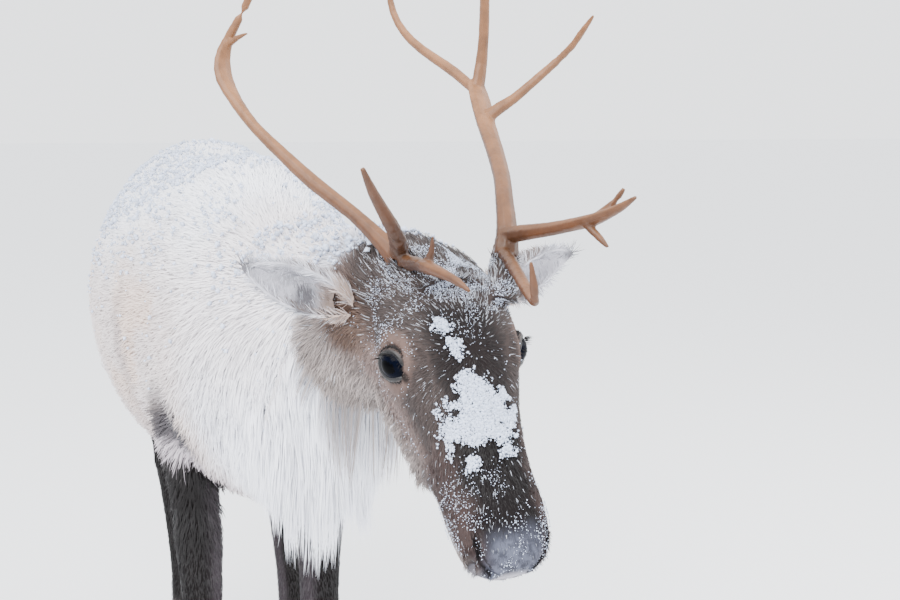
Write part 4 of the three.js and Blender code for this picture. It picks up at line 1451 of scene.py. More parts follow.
# The place of each form in FORMS.
FLANK_FORM_AT, NECK_FORM_AT, LEG_FORM_AT, FACE_FORM_AT, EAR_FORM_AT = range(5)
FACE_FORM = Strand("face_coat", "face", (0, 0.5, 1), 0.5, 1.3, 0.42, 0.55)
FORMS = (
    Strand("flank_coat", "coat", (0, 0.4, 0.75, 1), 0.93, 1.02, 0.03, 0.16),
    Strand("neck_coat", "mane", (0, 0.4, 0.75, 1), 0.93, 1.02, 0.03, 0.16),
    Strand("leg_coat", "leg", (0, 0.55, 1), 0.7, 1.15, 0.25, 0.4),
    FACE_FORM,
    Strand("ear_coat", "ear", (0, 0.5, 1), 0.6, 1.15, 0.3, 0.45),
)
MANE_FORM = Strand("long_mane", "mane", (0, 0.25, 0.5, 0.75, 1), 0.93, 1.02, 0.04, 0.2)
LASH_FORM = Strand("lashes", "face", (0, 0.5, 1), 1.0, 1.0, 0.1, 0.3)


@dataclass
class Tufts:
    """Tufts as arrays: one row a tuft.

    They run from roots to tips, bulging between; across is each one's flat side's way, and wide
    its width at the root, in metres.
    """

    roots: Array
    tips: Array
    bulge: Array
    across: Array
    wide: Array
    normals: Array
    colours: Array
    places: Array

    def build(self, form: Strand, name: str, rng: np.random.Generator) -> bpy.types.Object:
        """Makes one mesh of them.

        Args:
            form: their sections and tones.
            name: the object's name.
            rng: the seeded draw.

        Returns:
            The object, painted and with its place on the skin's unwrap.
        """
        count, levels = len(self.roots), len(form.sections)
        share = np.array(form.sections)
        line = (
            self.roots[:, None]
            + (self.tips - self.roots)[:, None] * share[:, None]
            + self.bulge[:, None] * (share * (1 - share))[:, None]
        )
        taper = (1 - share**1.6) * 0.5
        aside = self.across[:, None] * (self.wide[:, None] * taper)[..., None]
        sides = np.stack([line - aside, line + aside], axis=2)[:, :-1].reshape(count, -1, 3)
        points = np.concatenate([sides, line[:, -1:]], axis=1)
        each = points.shape[1]
        pattern = []
        for level in range(levels - 2):
            low = 2 * level
            pattern += [(low, low + 1, low + 3), (low, low + 3, low + 2)]
        pattern.append((each - 3, each - 2, each - 1))
        faces = (np.arange(count)[:, None, None] * each + np.array(pattern)).reshape(-1, 3)
        made = new_mesh(name, points.reshape(-1, 3), faces)
        level_of = np.append(np.repeat(np.arange(levels - 1), 2), levels - 1)
        # Painted shade towards each tuft's root, and painted light towards its tip.
        tone = np.interp(share[level_of], [0, 0.6, 1], [form.root_tone, 1, form.tip_tone])
        own = 1 + form.spread * (2 * rng.random(count) - 1)
        colours = self.colours[:, None] * tone[:, None] * own[:, None, None]
        paint(made, np.clip(colours, 0, 1).reshape(-1, 3))
        facing = np.cross(self.across, unit(self.tips - self.roots))
        normals = unit(self.normals * (1 - form.relief) + facing * form.relief)
        made.data.normals_split_custom_set_from_vertices(np.repeat(normals, each, axis=0))
        local = np.stack([np.tile([0, 1], levels - 1), np.repeat(share[:-1], 2)], axis=1)
        local = np.vstack([local, [0.5, 1]]) - 0.5
        places = self.places[:, None] + local * PATCH
        layer = made.data.uv_layers.new(name=BAKE_MAP)
        layer.data.foreach_set("uv", places.reshape(-1, 2)[faces.ravel()].astype(np.float32).ravel())
        return made


def spun(across: Array, normals: Array, spread: float, rng: np.random.Generator) -> Array:
    """Flat sides turned at random about the tufts, by up to spread radians."""
    turn = (spread * (2 * rng.random(len(across)) - 1))[:, None]
    return across * np.cos(turn) + normals * np.sin(turn)


@dataclass
class Coat:
    """The hair, in tufts that lie along the body."""

    surface: Surface
    thin: float = 1.0
    twist: float = 0.7
    sway: float = 0.16

    def build(self, finishes: dict[str, bpy.types.Material]) -> list[bpy.types.Object]:
        """Makes every piece of the coat.

        Args:
            finishes: a material for each slot.

        Returns:
            The pieces.
        """
        rng = np.random.default_rng(SEED)
        roots = self.surface.scatter(self.density(), rng)
        where = Anatomy(roots.points, roots.normals, roots.part)
        tufts = self.tufts(roots, where, rng)
        group = self.groups(where)
        pieces = []
        for number, form in enumerate(FORMS):
            chosen = np.flatnonzero(group == number)
            chosen = chosen[np.argsort(where.body[chosen, 1])]
            count = max(1, math.ceil(len(chosen) * form.triangles() / PIECE_LIMIT))
            for index, members in enumerate(np.array_split(chosen, count), start=1):
                part = Tufts(*(getattr(tufts, name)[members] for name in Tufts.__dataclass_fields__))
                piece = part.build(form, f"{form.name}_{index}", rng)
                pieces.append(dress(piece, finishes[form.slot]))
                LOG.info("%s: %d tufts", piece.name, len(members))
        return pieces

    def density(self) -> Array:
        """Tufts to a square metre, for each triangle of the skin.

        Returns:
            The tufts to a square metre.
        """
        surface = self.surface
        where = Anatomy(surface.points, surface.normals, surface.part)
        high = where.growth()[:, 0] * (1 - where.bare())
        under = where.body[:, 1] < Skin.meeting
        hidden = (surface.part == Part.BODY.value) & under | (surface.part == Part.HEAD.value) & ~under
        return (high * ~hidden)[surface.triangles].mean(axis=1) * self.thin

    def groups(self, where: Anatomy) -> Array:
        """The number of the form that each tuft takes.

        Args:
            where: what each point of the skin is.

        Returns:
            The numbers.
        """
        _, y, z = where.body.T
        neck = (y < -170) | (near_line(where.body, TAIL_LINE) < 52)
        group = np.where(neck, NECK_FORM_AT, FLANK_FORM_AT)
        group = np.where((z < 560) & (where.in_head < 0.5), LEG_FORM_AT, group)
        group = np.where(where.in_head >= 0.5, FACE_FORM_AT, group)
        return np.where(where.in_ear, EAR_FORM_AT, group)

    def tufts(self, roots: Roots, where: Anatomy, rng: np.random.Generator) -> Tufts:
        """The tufts that grow from these roots.

        Args:
            roots: places on the skin.
            where: what each point of the skin is.
            rng: the random numbers.

        Returns:
            The tufts.
        """
        growth = where.growth()
        count = len(growth)
        length = growth[:, 1] * MM * (0.7 + 0.6 * rng.random(count))
        wide = growth[:, 2] * MM * (0.75 + 0.5 * rng.random(count))
        lift = np.radians(growth[:, 3] * (0.6 + 0.8 * rng.random(count)))
        way = where.lie() + rng.normal(0, self.sway, (count, 3))
        way = unit(way - roots.normals * (way * roots.normals).sum(1, keepdims=True))
        rise = roots.normals * (length * np.sin(lift))[:, None]
        start = roots.points - roots.normals * MM
        tips = start + way * (length * np.cos(lift))[:, None] + rise * 0.55
        across = spun(np.cross(way, roots.normals), roots.normals, self.twist, rng)
        colours = Markings(where).colours()
        frosted = (rng.random(count) < where.frosted())[:, None]
        colours = np.where(frosted, 0.6 * colours + 0.4 * linear(226, 230, 238), colours)
        return Tufts(start, tips, rise * 0.9, across, wide, roots.normals, colours, roots.places)


@dataclass
class Mane:
    """The long hair that hangs under the neck, in locks that run together at their tips."""

    surface: Surface
    thin: float = 1.0
    density: float = 90000
    locks: int = 260
    lengths: tuple[tuple[float, float], ...] = (
        (-520, 60), (-466, 78), (-396, 104), (-350, 146), (-312, 154), (-270, 84), (-226, 44), (-150, 24),
    )
    wide: float = 2.0
    gather: float = 0.62

    def build(self, finish: bpy.types.Material) -> bpy.types.Object:
        """Makes the mane.

        Args:
            finish: the material.

        Returns:
            The piece.
        """
        rng = np.random.default_rng(SEED + 1)
        where = Anatomy(self.surface.points, self.surface.normals, self.surface.part)
        share = self.share(where)[self.surface.triangles].mean(axis=1)
        roots = self.surface.scatter(share * self.density * self.thin, rng)
        where = Anatomy(roots.points, roots.normals, roots.part)
        count = len(roots.points)
        length = self.length(where) * MM * (0.75 + 0.4 * rng.random(count))
        fall = self.fall(where, rng)
        start = roots.points - roots.normals * 2 * MM
        tips = start + fall * length[:, None] + roots.normals * 6 * MM
        leaders = rng.choice(count, min(self.locks, count), replace=False)
        gaps = ((start[:, None] - start[None, leaders]) ** 2).sum(axis=2)
        leader = leaders[gaps.argmin(axis=1)]
        pull = self.gather * (0.6 + 0.4 * rng.random(count))[:, None]
        tips += (tips[leader] - tips) * pull
        facing = unit(roots.normals + np.array([0, -0.4, 0.1]))
        across = unit(np.cross(unit(tips - start), facing))
        across = spun(across, facing, 0.8, rng)
        bulge = roots.normals * (0.22 * length)[:, None]
        colours = Markings(where).colours()
        wide = self.wide * MM * (0.7 + 0.6 * rng.random(count))
        tufts = Tufts(start, tips, bulge, across, wide, facing, colours, roots.places)
        LOG.info("long mane: %d tufts", count)
        return dress(tufts.build(MANE_FORM, MANE_FORM.name, rng), finish)

    def share(self, where: Anatomy) -> Array:
        """Where the mane grows: under the neck, from the throat to the breast.

        Args:
            where: what each point of the skin is.

        Returns:
            The share at each point.
        """
        _, y, z = where.body.T
        along = step(-130, -200, y) * step(-520, -470, y)
        shell = np.where(where.part == Part.BODY.value, y > Skin.meeting, y <= Skin.meeting)
        under = step(0.15, -0.45, where.normals[:, 2])
        return along * under * shell * (1 - where.in_head) * (z > 560)

    def length(self, where: Anatomy) -> Array:
        """How long it grows, in millimetres: longest along the lowest line of the neck.

        Args:
            where: what each point of the skin is.

        Returns:
            The lengths.
        """
        under = step(0.1, 0.95, -where.normals[:, 2])
        along = np.interp(where.body[:, 1], *np.array(self.lengths).T)
        return along * (0.3 + 0.7 * under)

    def fall(self, where: Anatomy, rng: np.random.Generator) -> Array:
        """The way that it hangs.

        Args:
            where: what each point of the skin is.
            rng: the random numbers.

        Returns:
            Directions of length one.
        """
        count = len(where.points)
        fall = np.array([0.0, 0.16, -1.0]) + rng.normal(0, 0.07, (count, 3))
        fall += noise_vectors(where.points, 0.04, 31) * 0.22
        return unit(fall)


# Eyes, antlers, hooves and frost


@dataclass(frozen=True)
class Eye:
    """An eye with its lids and lashes, on one side of the head."""

    side: str
    lid_edge: float = 17.6
    lid_crown: float = 19.3
    lid_foot: float = 18.6
    long_half: float = 13.4
    upper_half: float = 12.4
    lower_half: float = 10.2
    corner: float = 5.4
    segments: int = 72
    rows: int = 12
    lashes: int = 46
    hairs: int = 2600
    hair_foot: float = 18.4
    lash_foot: float = 18.6
    pupil: tuple[float, float] = (8.6, 6.0)

    def outward(self, points: Array) -> Array:
        """Points of the left eye's frame, in millimetres from its middle, as points of the part.

        Args:
            points: places in the left eye's frame, in millimetres.

        Returns:
            The places in the part's frame, in metres.
        """
        turned = (points + EYE) * np.array([SIDES[self.side], -1, 1]) * MM
        spin = np.array(HEAD.matrix())
        return turned @ spin[:3, :3].T + spin[:3, 3]

    def facing(self) -> Array:
        """The way that the left eye looks."""
        return unit(np.array([EYE_FACING]))[0]

    def rim(self) -> Array:
        """The opening of the lids as offsets from the eye's axis, in millimetres.

        Returns:
            The offsets, a row a point of the rim.
        """
        across, high = almond_axes()
        turn = np.linspace(0, 2 * math.pi, self.segments, endpoint=False)
        wide = self.long_half * np.cos(turn)
        half = np.where(np.sin(turn) > 0, self.upper_half, self.lower_half)
        tall = half * np.sign(np.sin(turn)) * np.abs(np.sin(turn)) ** 1.25
        to_nose = across[1] * np.cos(turn) > 0
        wide += self.corner * np.cos(turn) * to_nose * np.abs(np.cos(turn)) ** 6
        return wide[:, None] * across + tall[:, None] * high

    def eyeball(self, finish: bpy.types.Material) -> bpy.types.Object:
        """The eyeball, dark blue round a wide dark pupil.

        Args:
            finish: the material.

        Returns:
            The piece.
        """
        points, faces = ball(np.zeros(3), EYE_RADIUS, 40)
        across, high = almond_axes()
        front = unit(points) @ self.facing()
        off = np.hypot(points @ across / self.pupil[0], points @ high / self.pupil[1])
        iris = linear(17, 28, 48) * (0.7 + 0.6 * noise(points, 1.6, 2))[:, None]
        colours = np.where((off < 1)[:, None] & (front > 0)[:, None], linear(9, 12, 20), iris)
        white = step(0.2, 0.1, front)[:, None]
        colours = colours * (1 - white) + linear(70, 62, 60) * white
        order = faces[:, ::-1] if SIDES[self.side] > 0 else faces
        made = new_mesh(f"{self.side}_eyeball", self.outward(points), order)
        paint(made, colours)
        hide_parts(f"{self.side}_eye")
        return dress(made, finish)

    def lids(self, finish: bpy.types.Material) -> bpy.types.Object:
        """The two lids as one sheet with the opening in it.

        Args:
            finish: the material.

        Returns:
            The piece.
        """
        facing, rim = self.facing(), self.rim()
        reach = np.linalg.norm(rim, axis=1)
        way = rim / reach[:, None]
        first = np.arcsin(np.clip(reach / self.lid_edge, 0, 0.985))
        last = np.maximum(math.radians(88), first + 0.2)
        share = np.linspace(0, 1, self.rows)
        angle = first + share[:, None] * (last - first)
        rise = step(0, 0.16, share)
        radius = self.lid_edge + (self.lid_crown - self.lid_edge) * rise
        radius += (self.lid_foot - self.lid_crown) * step(0.3, 1, share)
        crease = 0.9 * np.exp(-(((share - 0.55) / 0.1) ** 2))
        radius = (radius - crease)[:, None] * np.ones(self.segments)
        radius[0] -= 1.2
        points = radius[..., None] * (
            np.cos(angle)[..., None] * facing + np.sin(angle)[..., None] * way
        )
        row, column = np.meshgrid(np.arange(self.rows - 1), np.arange(self.segments), indexing="ij")
        a = (row * self.segments + column).ravel()
        b = (row * self.segments + (column + 1) % self.segments).ravel()
        down = self.segments
        faces = np.vstack([np.stack([a, b, b + down], 1), np.stack([a, b + down, a + down], 1)])
        order = faces[:, ::-1] if SIDES[self.side] < 0 else faces
        made = new_mesh(f"{self.side}_lids", self.outward(points.reshape(-1, 3)), order)
        dark = np.repeat(step(0.42, 0.2, share), self.segments)[:, None]
        paint(made, Palette.lid * dark + Palette.eye_ring * 0.5 * (1 - dark))
        return dress(made, finish)

    def lid_hair(self, finish: bpy.types.Material) -> bpy.types.Object:
        """The short hair on the lids, which lies away from the opening.

        Args:
            finish: the material.

        Returns:
            The piece.
        """
        rng = np.random.default_rng(SEED + 4)
        count = self.hairs
        facing, rim = self.facing(), self.rim()
        reach = np.linalg.norm(rim, axis=1)
        chosen = rng.integers(0, self.segments, count)
        way = unit(rim[chosen] + rng.normal(0, 0.5, (count, 3)))
        way = unit(way - (way @ facing)[:, None] * facing)
        first = np.arcsin(np.clip(reach[chosen] / self.lid_edge, 0, 0.985)) + 0.13
        angle = first + (math.radians(92) - first) * rng.random(count)
        out = np.cos(angle)[:, None] * facing + np.sin(angle)[:, None] * way
        along = np.cos(angle)[:, None] * way - np.sin(angle)[:, None] * facing
        along = unit(along + rng.normal(0, 0.25, (count, 3)))
        roots = out * self.hair_foot
        tips = roots + along * (3.4 + 2.4 * rng.random(count))[:, None] + out * 0.9
        start, end = self.outward(roots), self.outward(tips)
        normal = unit(start - self.outward(np.zeros((1, 3))))
        across = spun(unit(np.cross(end - start, normal)), normal, 0.7, rng)
        tone = step(0.12, 0.5, angle - first)[:, None]
        colours = Palette.lid * (1 - tone) + Palette.eye_ring * 0.85 * tone
        wide = np.full(count, 0.85 * MM)
        places = np.tile([0.97, 0.93], (count, 1))
        tufts = Tufts(start, end, normal * 0.6 * MM, across, wide, normal, colours, places)
        return dress(tufts.build(FACE_FORM, f"{self.side}_lid_hair", rng), finish)

    def lash_row(self, finish: bpy.types.Material) -> bpy.types.Object:
        """The lashes of the upper lid.

        Args:
            finish: the material.

        Returns:
            The piece.
        """
        rng = np.random.default_rng(SEED + 2)
        facing, rim = self.facing(), self.rim()
        _, high = almond_axes()
        upper = np.flatnonzero(rim @ high > 2)
        chosen = rng.choice(upper, self.lashes)
        flat = rim[chosen] + rng.normal(0, 0.4, (self.lashes, 3))
        out = unit(flat)
        rise = np.sqrt(np.maximum(self.lash_foot**2 - (flat**2).sum(1), 4))[:, None]
        roots = flat + rise * facing
        length = (7 + 4 * rng.random(self.lashes))[:, None]
        tips = roots + length * (0.75 * facing + 0.45 * out - 0.25 * high)
        start, end = self.outward(roots), self.outward(tips)
        normal = np.repeat([HEAD.direction(0, 0.3, 0.9)], self.lashes, axis=0)
        across = unit(np.cross(end - start, normal))
        colours = np.tile(Palette.lid, (self.lashes, 1))
        bulge = normal * 2 * MM
        wide = np.full(self.lashes, 0.6 * MM)
        places = np.tile([0.97, 0.97], (self.lashes, 1))
        tufts = Tufts(start, end, bulge, across, wide, normal, colours, places)
        return dress(tufts.build(LASH_FORM, f"{self.side}_lashes", rng), finish)


@dataclass(frozen=True)
class Antler:
    """One antler: a smooth branching beam with a rough burr at its base."""

    side: str
    voxel: float = 1.3 * MM
    rounds: int = 4
    ratio: float = 0.5
    grain: float = 0.35

    def build(self, finish: bpy.types.Material) -> bpy.types.Object:
        """Makes the antler from its solids.

        Args:
            finish: the material.

        Returns:
            The piece.
        """
        nodes = [name for name in SOLIDS if name.startswith(f"{self.side}_antler_")]
        shell = fused("beam", [solid_of(name) for name in nodes], self.voxel)
        points, faces = triangles_of(thinned(relaxed(shell, self.rounds), self.ratio))
        bpy.data.objects.remove(shell)
        surface = Surface(points, faces, np.zeros(len(points)))
        rough = noise(points, 3 * MM, 4) - 0.5 + 0.6 * (noise(points, 8 * MM, 6) - 0.5)
        base = HEAD.outside(SIDES[self.side] * 40, 6, 20)
        from_base = np.linalg.norm(points - base, axis=1) / MM
        burr = step(46, 20, from_base)
        points = points + surface.normals * (rough * (self.grain + 1.6 * burr) * MM)[:, None]
        made = new_mesh(f"{self.side}_antler", points, faces)
        paint(made, self.colours(points, surface.normals, from_base))
        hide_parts(*nodes)
        return dress(made, finish)

    def colours(self, points: Array, normals: Array, from_base: Array) -> Array:
        """Brown below and paler towards the tips, with faint long stains, and paler on top as painted
        light from above.

        Args:
            points: the points of the antler.
            normals: the direction out of the surface at each point.
            from_base: how far each point is from the antler's base.

        Returns:
            The colours, a row a point.
        """
        brown, pale = linear(112, 80, 52), linear(158, 124, 94)
        # Paler towards the tips, and paler on top as painted light from above.
        share = (step(60, 330, from_base) * 0.6 + 0.4 * step(0.1, 0.9, normals[:, 2]))[:, None]
        stain = 0.62 + 0.4 * noise(points, 0.014, 14) + 0.34 * noise(points, 0.004, 15)
        made = (brown * (1 - share) + pale * share) * stain[:, None]
        burr = step(50, 18, from_base)[:, None]
        return made * (1 - 0.45 * burr)


@dataclass(frozen=True)
class Hoof:
    """The four claws of one foot."""

    leg: str
    voxel: float = 1.6 * MM
    rounds: int = 3

    def build(self, finish: bpy.types.Material) -> bpy.types.Object:
        """Makes the claws from their solids, smooth and ringed.

        Args:
            finish: the material.

        Returns:
            The piece.
        """
        nodes = [name for name in SOLIDS if name.startswith(self.leg) and name.endswith("claw")]
        shell = relaxed(fused("claws", [solid_of(name) for name in nodes], self.voxel), self.rounds)
        points, faces = triangles_of(shell)
        bpy.data.objects.remove(shell)
        surface = Surface(points, faces, np.zeros(len(points)))
        rings = np.sin(points[:, 2] / MM * 0.9 + 3 * noise(points, 0.02, 7))
        wall = step(0.9, 0.5, np.abs(surface.normals[:, 2])) * step(6, 14, points[:, 2] / MM)
        points = points + surface.normals * (0.25 * MM * rings * wall)[:, None]
        points[:, 2] = np.maximum(points[:, 2], 0)
        made = new_mesh(f"{self.leg}_hoof", points, faces)
        tone = 0.8 + 0.5 * noise(points, 0.009, 19) + 0.1 * rings
        paint(made, linear(52, 46, 44) * tone[:, None])
        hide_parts(*nodes)
        return dress(made, finish)


@dataclass(frozen=True)
class Frost:
    """Grains and small clumps of frost that cling to the coat.

    Sizes are the smallest and how much larger the largest is, in millimetres, and the lifts are
    how high they lie over the skin.
    """

    grains: int = 5200
    flecks: int = 9000
    clumps: int = 4200
    grain_sizes: tuple[float, float] = (0.6, 1.2)
    fleck_sizes: tuple[float, float] = (0.28, 0.5)
    clump_sizes: tuple[float, float] = (1.6, 2.8)
    face_lift: float = 2.2
    back_lift: float = 7.5

    def build(self, surface: Surface, finish: bpy.types.Material) -> bpy.types.Object:
        """Makes the frost on the face and along the back.

        Args:
            surface: the skin.
            finish: the material.

        Returns:
            The piece.
        """
        rng = np.random.default_rng(SEED + 3)
        where = Anatomy(surface.points, surface.normals, surface.part)
        layers = [
            (self.on_bridge(where), self.grains, self.grain_sizes, self.face_lift),
            (self.on_face(where), self.flecks, self.fleck_sizes, self.face_lift),
            (self.on_back(where), self.clumps, self.clump_sizes, self.back_lift),
        ]
        settled = [self.settle(surface, share, count, rng) for share, count, *_ in layers]
        places, sizes = [], []
        for lumps, (_, _, (least, more), lift) in zip(settled, layers):
            sizes.append(least + more * rng.random(len(lumps.points)) ** 2)
            places.append(lumps.points + lumps.normals * lift * MM)
        return self.lumps(np.vstack(places), np.concatenate(sizes) * MM, finish, rng)

    def settle(self, surface: Surface, share: Array, count: int, rng: np.random.Generator) -> Roots:
        """Places on the skin, drawn by their share.

        Args:
            surface: the skin.
            share: the share for each point.
            count: how many.
            rng: the random numbers.

        Returns:
            The places.
        """
        density = share[surface.triangles].mean(axis=1)
        total = (density * surface.areas).sum()
        return surface.scatter(density * count / max(total, 1e-9), rng)

    def on_bridge(self, where: Anatomy) -> Array:
        """The patch on the bridge of the nose and the trail above it.

        Args:
            where: what each point of the skin is.

        Returns:
            The share at each point.
        """
        left, ahead, up = where.head_place.T
        ragged = 0.9 * (noise(where.points, 0.011, 23) - 0.5)
        ragged += 0.7 * (noise(where.points, 0.004, 24) - 0.5)
        wide = 32 - 0.4 * (160 - ahead)
        blob = step(1.15, 0.8, np.hypot((left + 5) / wide, (ahead - 154) / 34) + ragged)
        trail = step(1.2, 0.7, near_line(where.head_place, BRIDGE_TRAIL) / 3 + ragged)
        above = step(1.2, 0.8, np.hypot(left + 24, ahead - 70) / 6.5 + ragged)
        below = step(1.2, 0.8, np.hypot(left + 20, ahead - 201) / 7 + ragged)
        patches = np.maximum.reduce([blob, trail, above, below])
        return patches * step(-40, -30, up) * where.in_head

    def on_face(self, where: Anatomy) -> Array:
        """Loose flecks, most on the crown and the end of the muzzle.

        Args:
            where: what each point of the skin is.

        Returns:
            The share at each point.
        """
        _, ahead, up = where.head_place.T
        crown = step(110, 40, ahead) * step(-70, -30, up)
        muzzle = step(185, 240, ahead) * step(12, 40, where.over_jaw)
        clear = step(22, 27, where.from_eye) * (1 - where.bare()) * (~where.in_ear)
        drift = CROWN_DRIFT.mask(where.head_place)
        loose = 0.1 + 0.8 * crown + 0.8 * muzzle + 1.8 * drift
        return where.in_head * clear * loose * step(0.35, 0.7, noise(where.points, 0.012, 25))

    def on_back(self, where: Anatomy) -> Array:
        """On what faces up, in drifts.

        Args:
            where: what each point of the skin is.

        Returns:
            The share at each point.
        """
        uneven = 0.6 * noise(where.points, 0.06, 27) + 0.4 * noise(where.points, 0.015, 28)
        drift = step(0.3, 0.7, uneven)
        high = step(700, 800, where.body[:, 2])
        slope = where.normals[:, 2]
        settled = np.maximum(step(0.1, 0.75, slope), 0.07 * step(-0.35, 0.05, slope))
        return settled * drift * high * (1 - where.in_head)

    def lumps(
        self, places: Array, sizes: Array, finish: bpy.types.Material, rng: np.random.Generator
    ) -> bpy.types.Object:
        """Small uneven lumps as one mesh.

        Args:
            places: their places.
            sizes: their sizes.
            finish: the material.
            rng: the random numbers.

        Returns:
            The piece.
        """
        corners = np.array([[1, 0, 0], [-1, 0, 0], [0, 1, 0], [0, -1, 0], [0, 0, 1], [0, 0, -1]], float)
        faces = np.array(
            [[0, 2, 4], [2, 1, 4], [1, 3, 4], [3, 0, 4], [2, 0, 5], [1, 2, 5], [3, 1, 5], [0, 3, 5]]
        )
        count = len(places)
        shapes = corners * (0.6 + 0.8 * rng.random((count, 6, 1)))
        spins = np.linalg.qr(rng.normal(size=(count, 3, 3)))[0]
        spins *= np.sign(np.linalg.det(spins))[:, None, None]
        points = places[:, None] + np.einsum("nij,nkj->nki", spins, shapes) * sizes[:, None, None]
        made = new_mesh(
            "frost", points.reshape(-1, 3), (np.arange(count)[:, None, None] * 6 + faces).reshape(-1, 3)
        )
        shade = np.repeat(0.68 + 0.38 * rng.random(count), 6)[:, None]
        paint(made, linear(216, 223, 237) * shade)
        return dress(made, finish)


# Materials


class Nodes:
    """One material's nodes round its shader."""

    def __init__(self, name: str) -> None:
        """Starts a material with this name."""
        self.material = bpy.data.materials.new(name)
        self.material.use_nodes = True
        self.tree = self.material.node_tree
        self.shader = self.tree.nodes["Principled BSDF"]

    def add(self, kind: str, **settings: object) -> bpy.types.Node:
        """A new node with these settings.

        Args:
            kind: the kind of node.
            **settings: a value for each setting, by its name.

        Returns:
            The node.
        """
        made = self.tree.nodes.new(kind)
        for name, value in settings.items():
            setattr(made, name, value)
        return made

    def group(self, tree: bpy.types.NodeTree, **values: float) -> bpy.types.Node:
        """A node group with these values on its sockets.

        Args:
            tree: the group.
            **values: a value for each socket, by its name.

        Returns:
            The node.
        """
        made = self.add("ShaderNodeGroup", node_tree=tree)
        for name, value in values.items():
            made.inputs[name].default_value = value
        return made

    def join(self, source: bpy.types.NodeSocket, target: bpy.types.NodeSocket) -> None:
        """Links two sockets."""
        self.tree.links.new(source, target)

    def constants(self, **values: float) -> None:
        """Sets the shader's own sockets, named with underscores for blanks."""
        for name, value in values.items():
            self.shader.inputs[name.replace("_", " ")].default_value = value

    def painted(self) -> bpy.types.NodeSocket:
        """The colour painted on the mesh."""
        return self.add("ShaderNodeVertexColor", layer_name=COLOUR_LAYER).outputs["Color"]


def tone_group() -> bpy.types.NodeTree:
    """A colour with fine uneven patches of lighter and darker.

    Returns:
        The group.
    """
    tree = bpy.data.node_groups.new("Uneven tone", "ShaderNodeTree")
    for name, kind, way in (
        ("Color", "NodeSocketColor", "INPUT"),
        ("Scale", "NodeSocketFloat", "INPUT"),
        ("Amount", "NodeSocketFloat", "INPUT"),
        ("Color", "NodeSocketColor", "OUTPUT"),
    ):
        tree.interface.new_socket(name, in_out=way, socket_type=kind)
    start, end = tree.nodes.new("NodeGroupInput"), tree.nodes.new("NodeGroupOutput")
    place = tree.nodes.new("ShaderNodeTexCoord")
    patches = tree.nodes.new("ShaderNodeTexNoise")
    patches.inputs["Detail"].default_value = 3
    tree.links.new(place.outputs["Object"], patches.inputs["Vector"])
    tree.links.new(start.outputs["Scale"], patches.inputs["Scale"])
    centred = tree.nodes.new("ShaderNodeMath")
    centred.operation = "SUBTRACT"
    centred.inputs[1].default_value = 0.5
    tree.links.new(patches.outputs["Fac"], centred.inputs[0])
    scaled = tree.nodes.new("ShaderNodeMath")
    scaled.operation = "MULTIPLY_ADD"
    scaled.inputs[2].default_value = 1
    tree.links.new(centred.outputs[0], scaled.inputs[0])
    tree.links.new(start.outputs["Amount"], scaled.inputs[1])
    product = tree.nodes.new("ShaderNodeVectorMath")
    product.operation = "SCALE"
    tree.links.new(start.outputs["Color"], product.inputs[0])
    tree.links.new(scaled.outputs[0], product.inputs["Scale"])
    tree.links.new(product.outputs[0], end.inputs["Color"])
    return tree


def relief_group() -> bpy.types.NodeTree:
    """A height of fine grain, drawn out along the part's up axis by its stretch.

    Returns:
        The group.
    """
    tree = bpy.data.node_groups.new("Fine relief", "ShaderNodeTree")
    for name, way in (("Scale", "INPUT"), ("Stretch", "INPUT"), ("Height", "OUTPUT")):
        tree.interface.new_socket(name, in_out=way, socket_type="NodeSocketFloat")
    start, end = tree.nodes.new("NodeGroupInput"), tree.nodes.new("NodeGroupOutput")
    place = tree.nodes.new("ShaderNodeTexCoord")
    drawn = tree.nodes.new("ShaderNodeCombineXYZ")
    drawn.inputs["X"].default_value = 1
    drawn.inputs["Y"].default_value = 1
    tree.links.new(start.outputs["Stretch"], drawn.inputs["Z"])
    scaled = tree.nodes.new("ShaderNodeVectorMath")
    scaled.operation = "MULTIPLY"
    tree.links.new(place.outputs["Object"], scaled.inputs[0])
    tree.links.new(drawn.outputs[0], scaled.inputs[1])
    grain = tree.nodes.new("ShaderNodeTexNoise")
    grain.inputs["Detail"].default_value = 4
    tree.links.new(scaled.outputs[0], grain.inputs["Vector"])
    tree.links.new(start.outputs["Scale"], grain.inputs["Scale"])
    tree.links.new(grain.outputs["Fac"], end.inputs["Height"])
    return tree


@dataclass(frozen=True)
class Finish:
    """A finish over the painted colour: how uneven, rough and grained it is."""

    name: str
    roughness: float
    uneven: float = 0.1
    uneven_scale: float = 200
    relief: float = 0.0
    relief_scale: float = 600
    stretch: float = 1.0
    specular: float = 0.3

    def build(self, tone: bpy.types.NodeTree, relief: bpy.types.NodeTree) -> bpy.types.Material:
        """Makes the material from the shared groups.

        Args:
            tone: the group for uneven tone.
            relief: the group for fine relief.

        Returns:
            The material.
        """
        nodes = Nodes(self.name)
        uneven = nodes.group(tone, Scale=self.uneven_scale, Amount=self.uneven)
        nodes.join(nodes.painted(), uneven.inputs["Color"])
        nodes.join(uneven.outputs["Color"], nodes.shader.inputs["Base Color"])
        nodes.constants(Roughness=self.roughness, Specular_IOR_Level=self.specular)
        if self.relief:
            grain = nodes.group(relief, Scale=self.relief_scale, Stretch=self.stretch)
            bump = nodes.add("ShaderNodeBump")
            bump.inputs["Strength"].default_value = self.relief
            bump.inputs["Distance"].default_value = MM
            nodes.join(grain.outputs["Height"], bump.inputs["Height"])
            nodes.join(bump.outputs["Normal"], nodes.shader.inputs["Normal"])
        return nodes.material


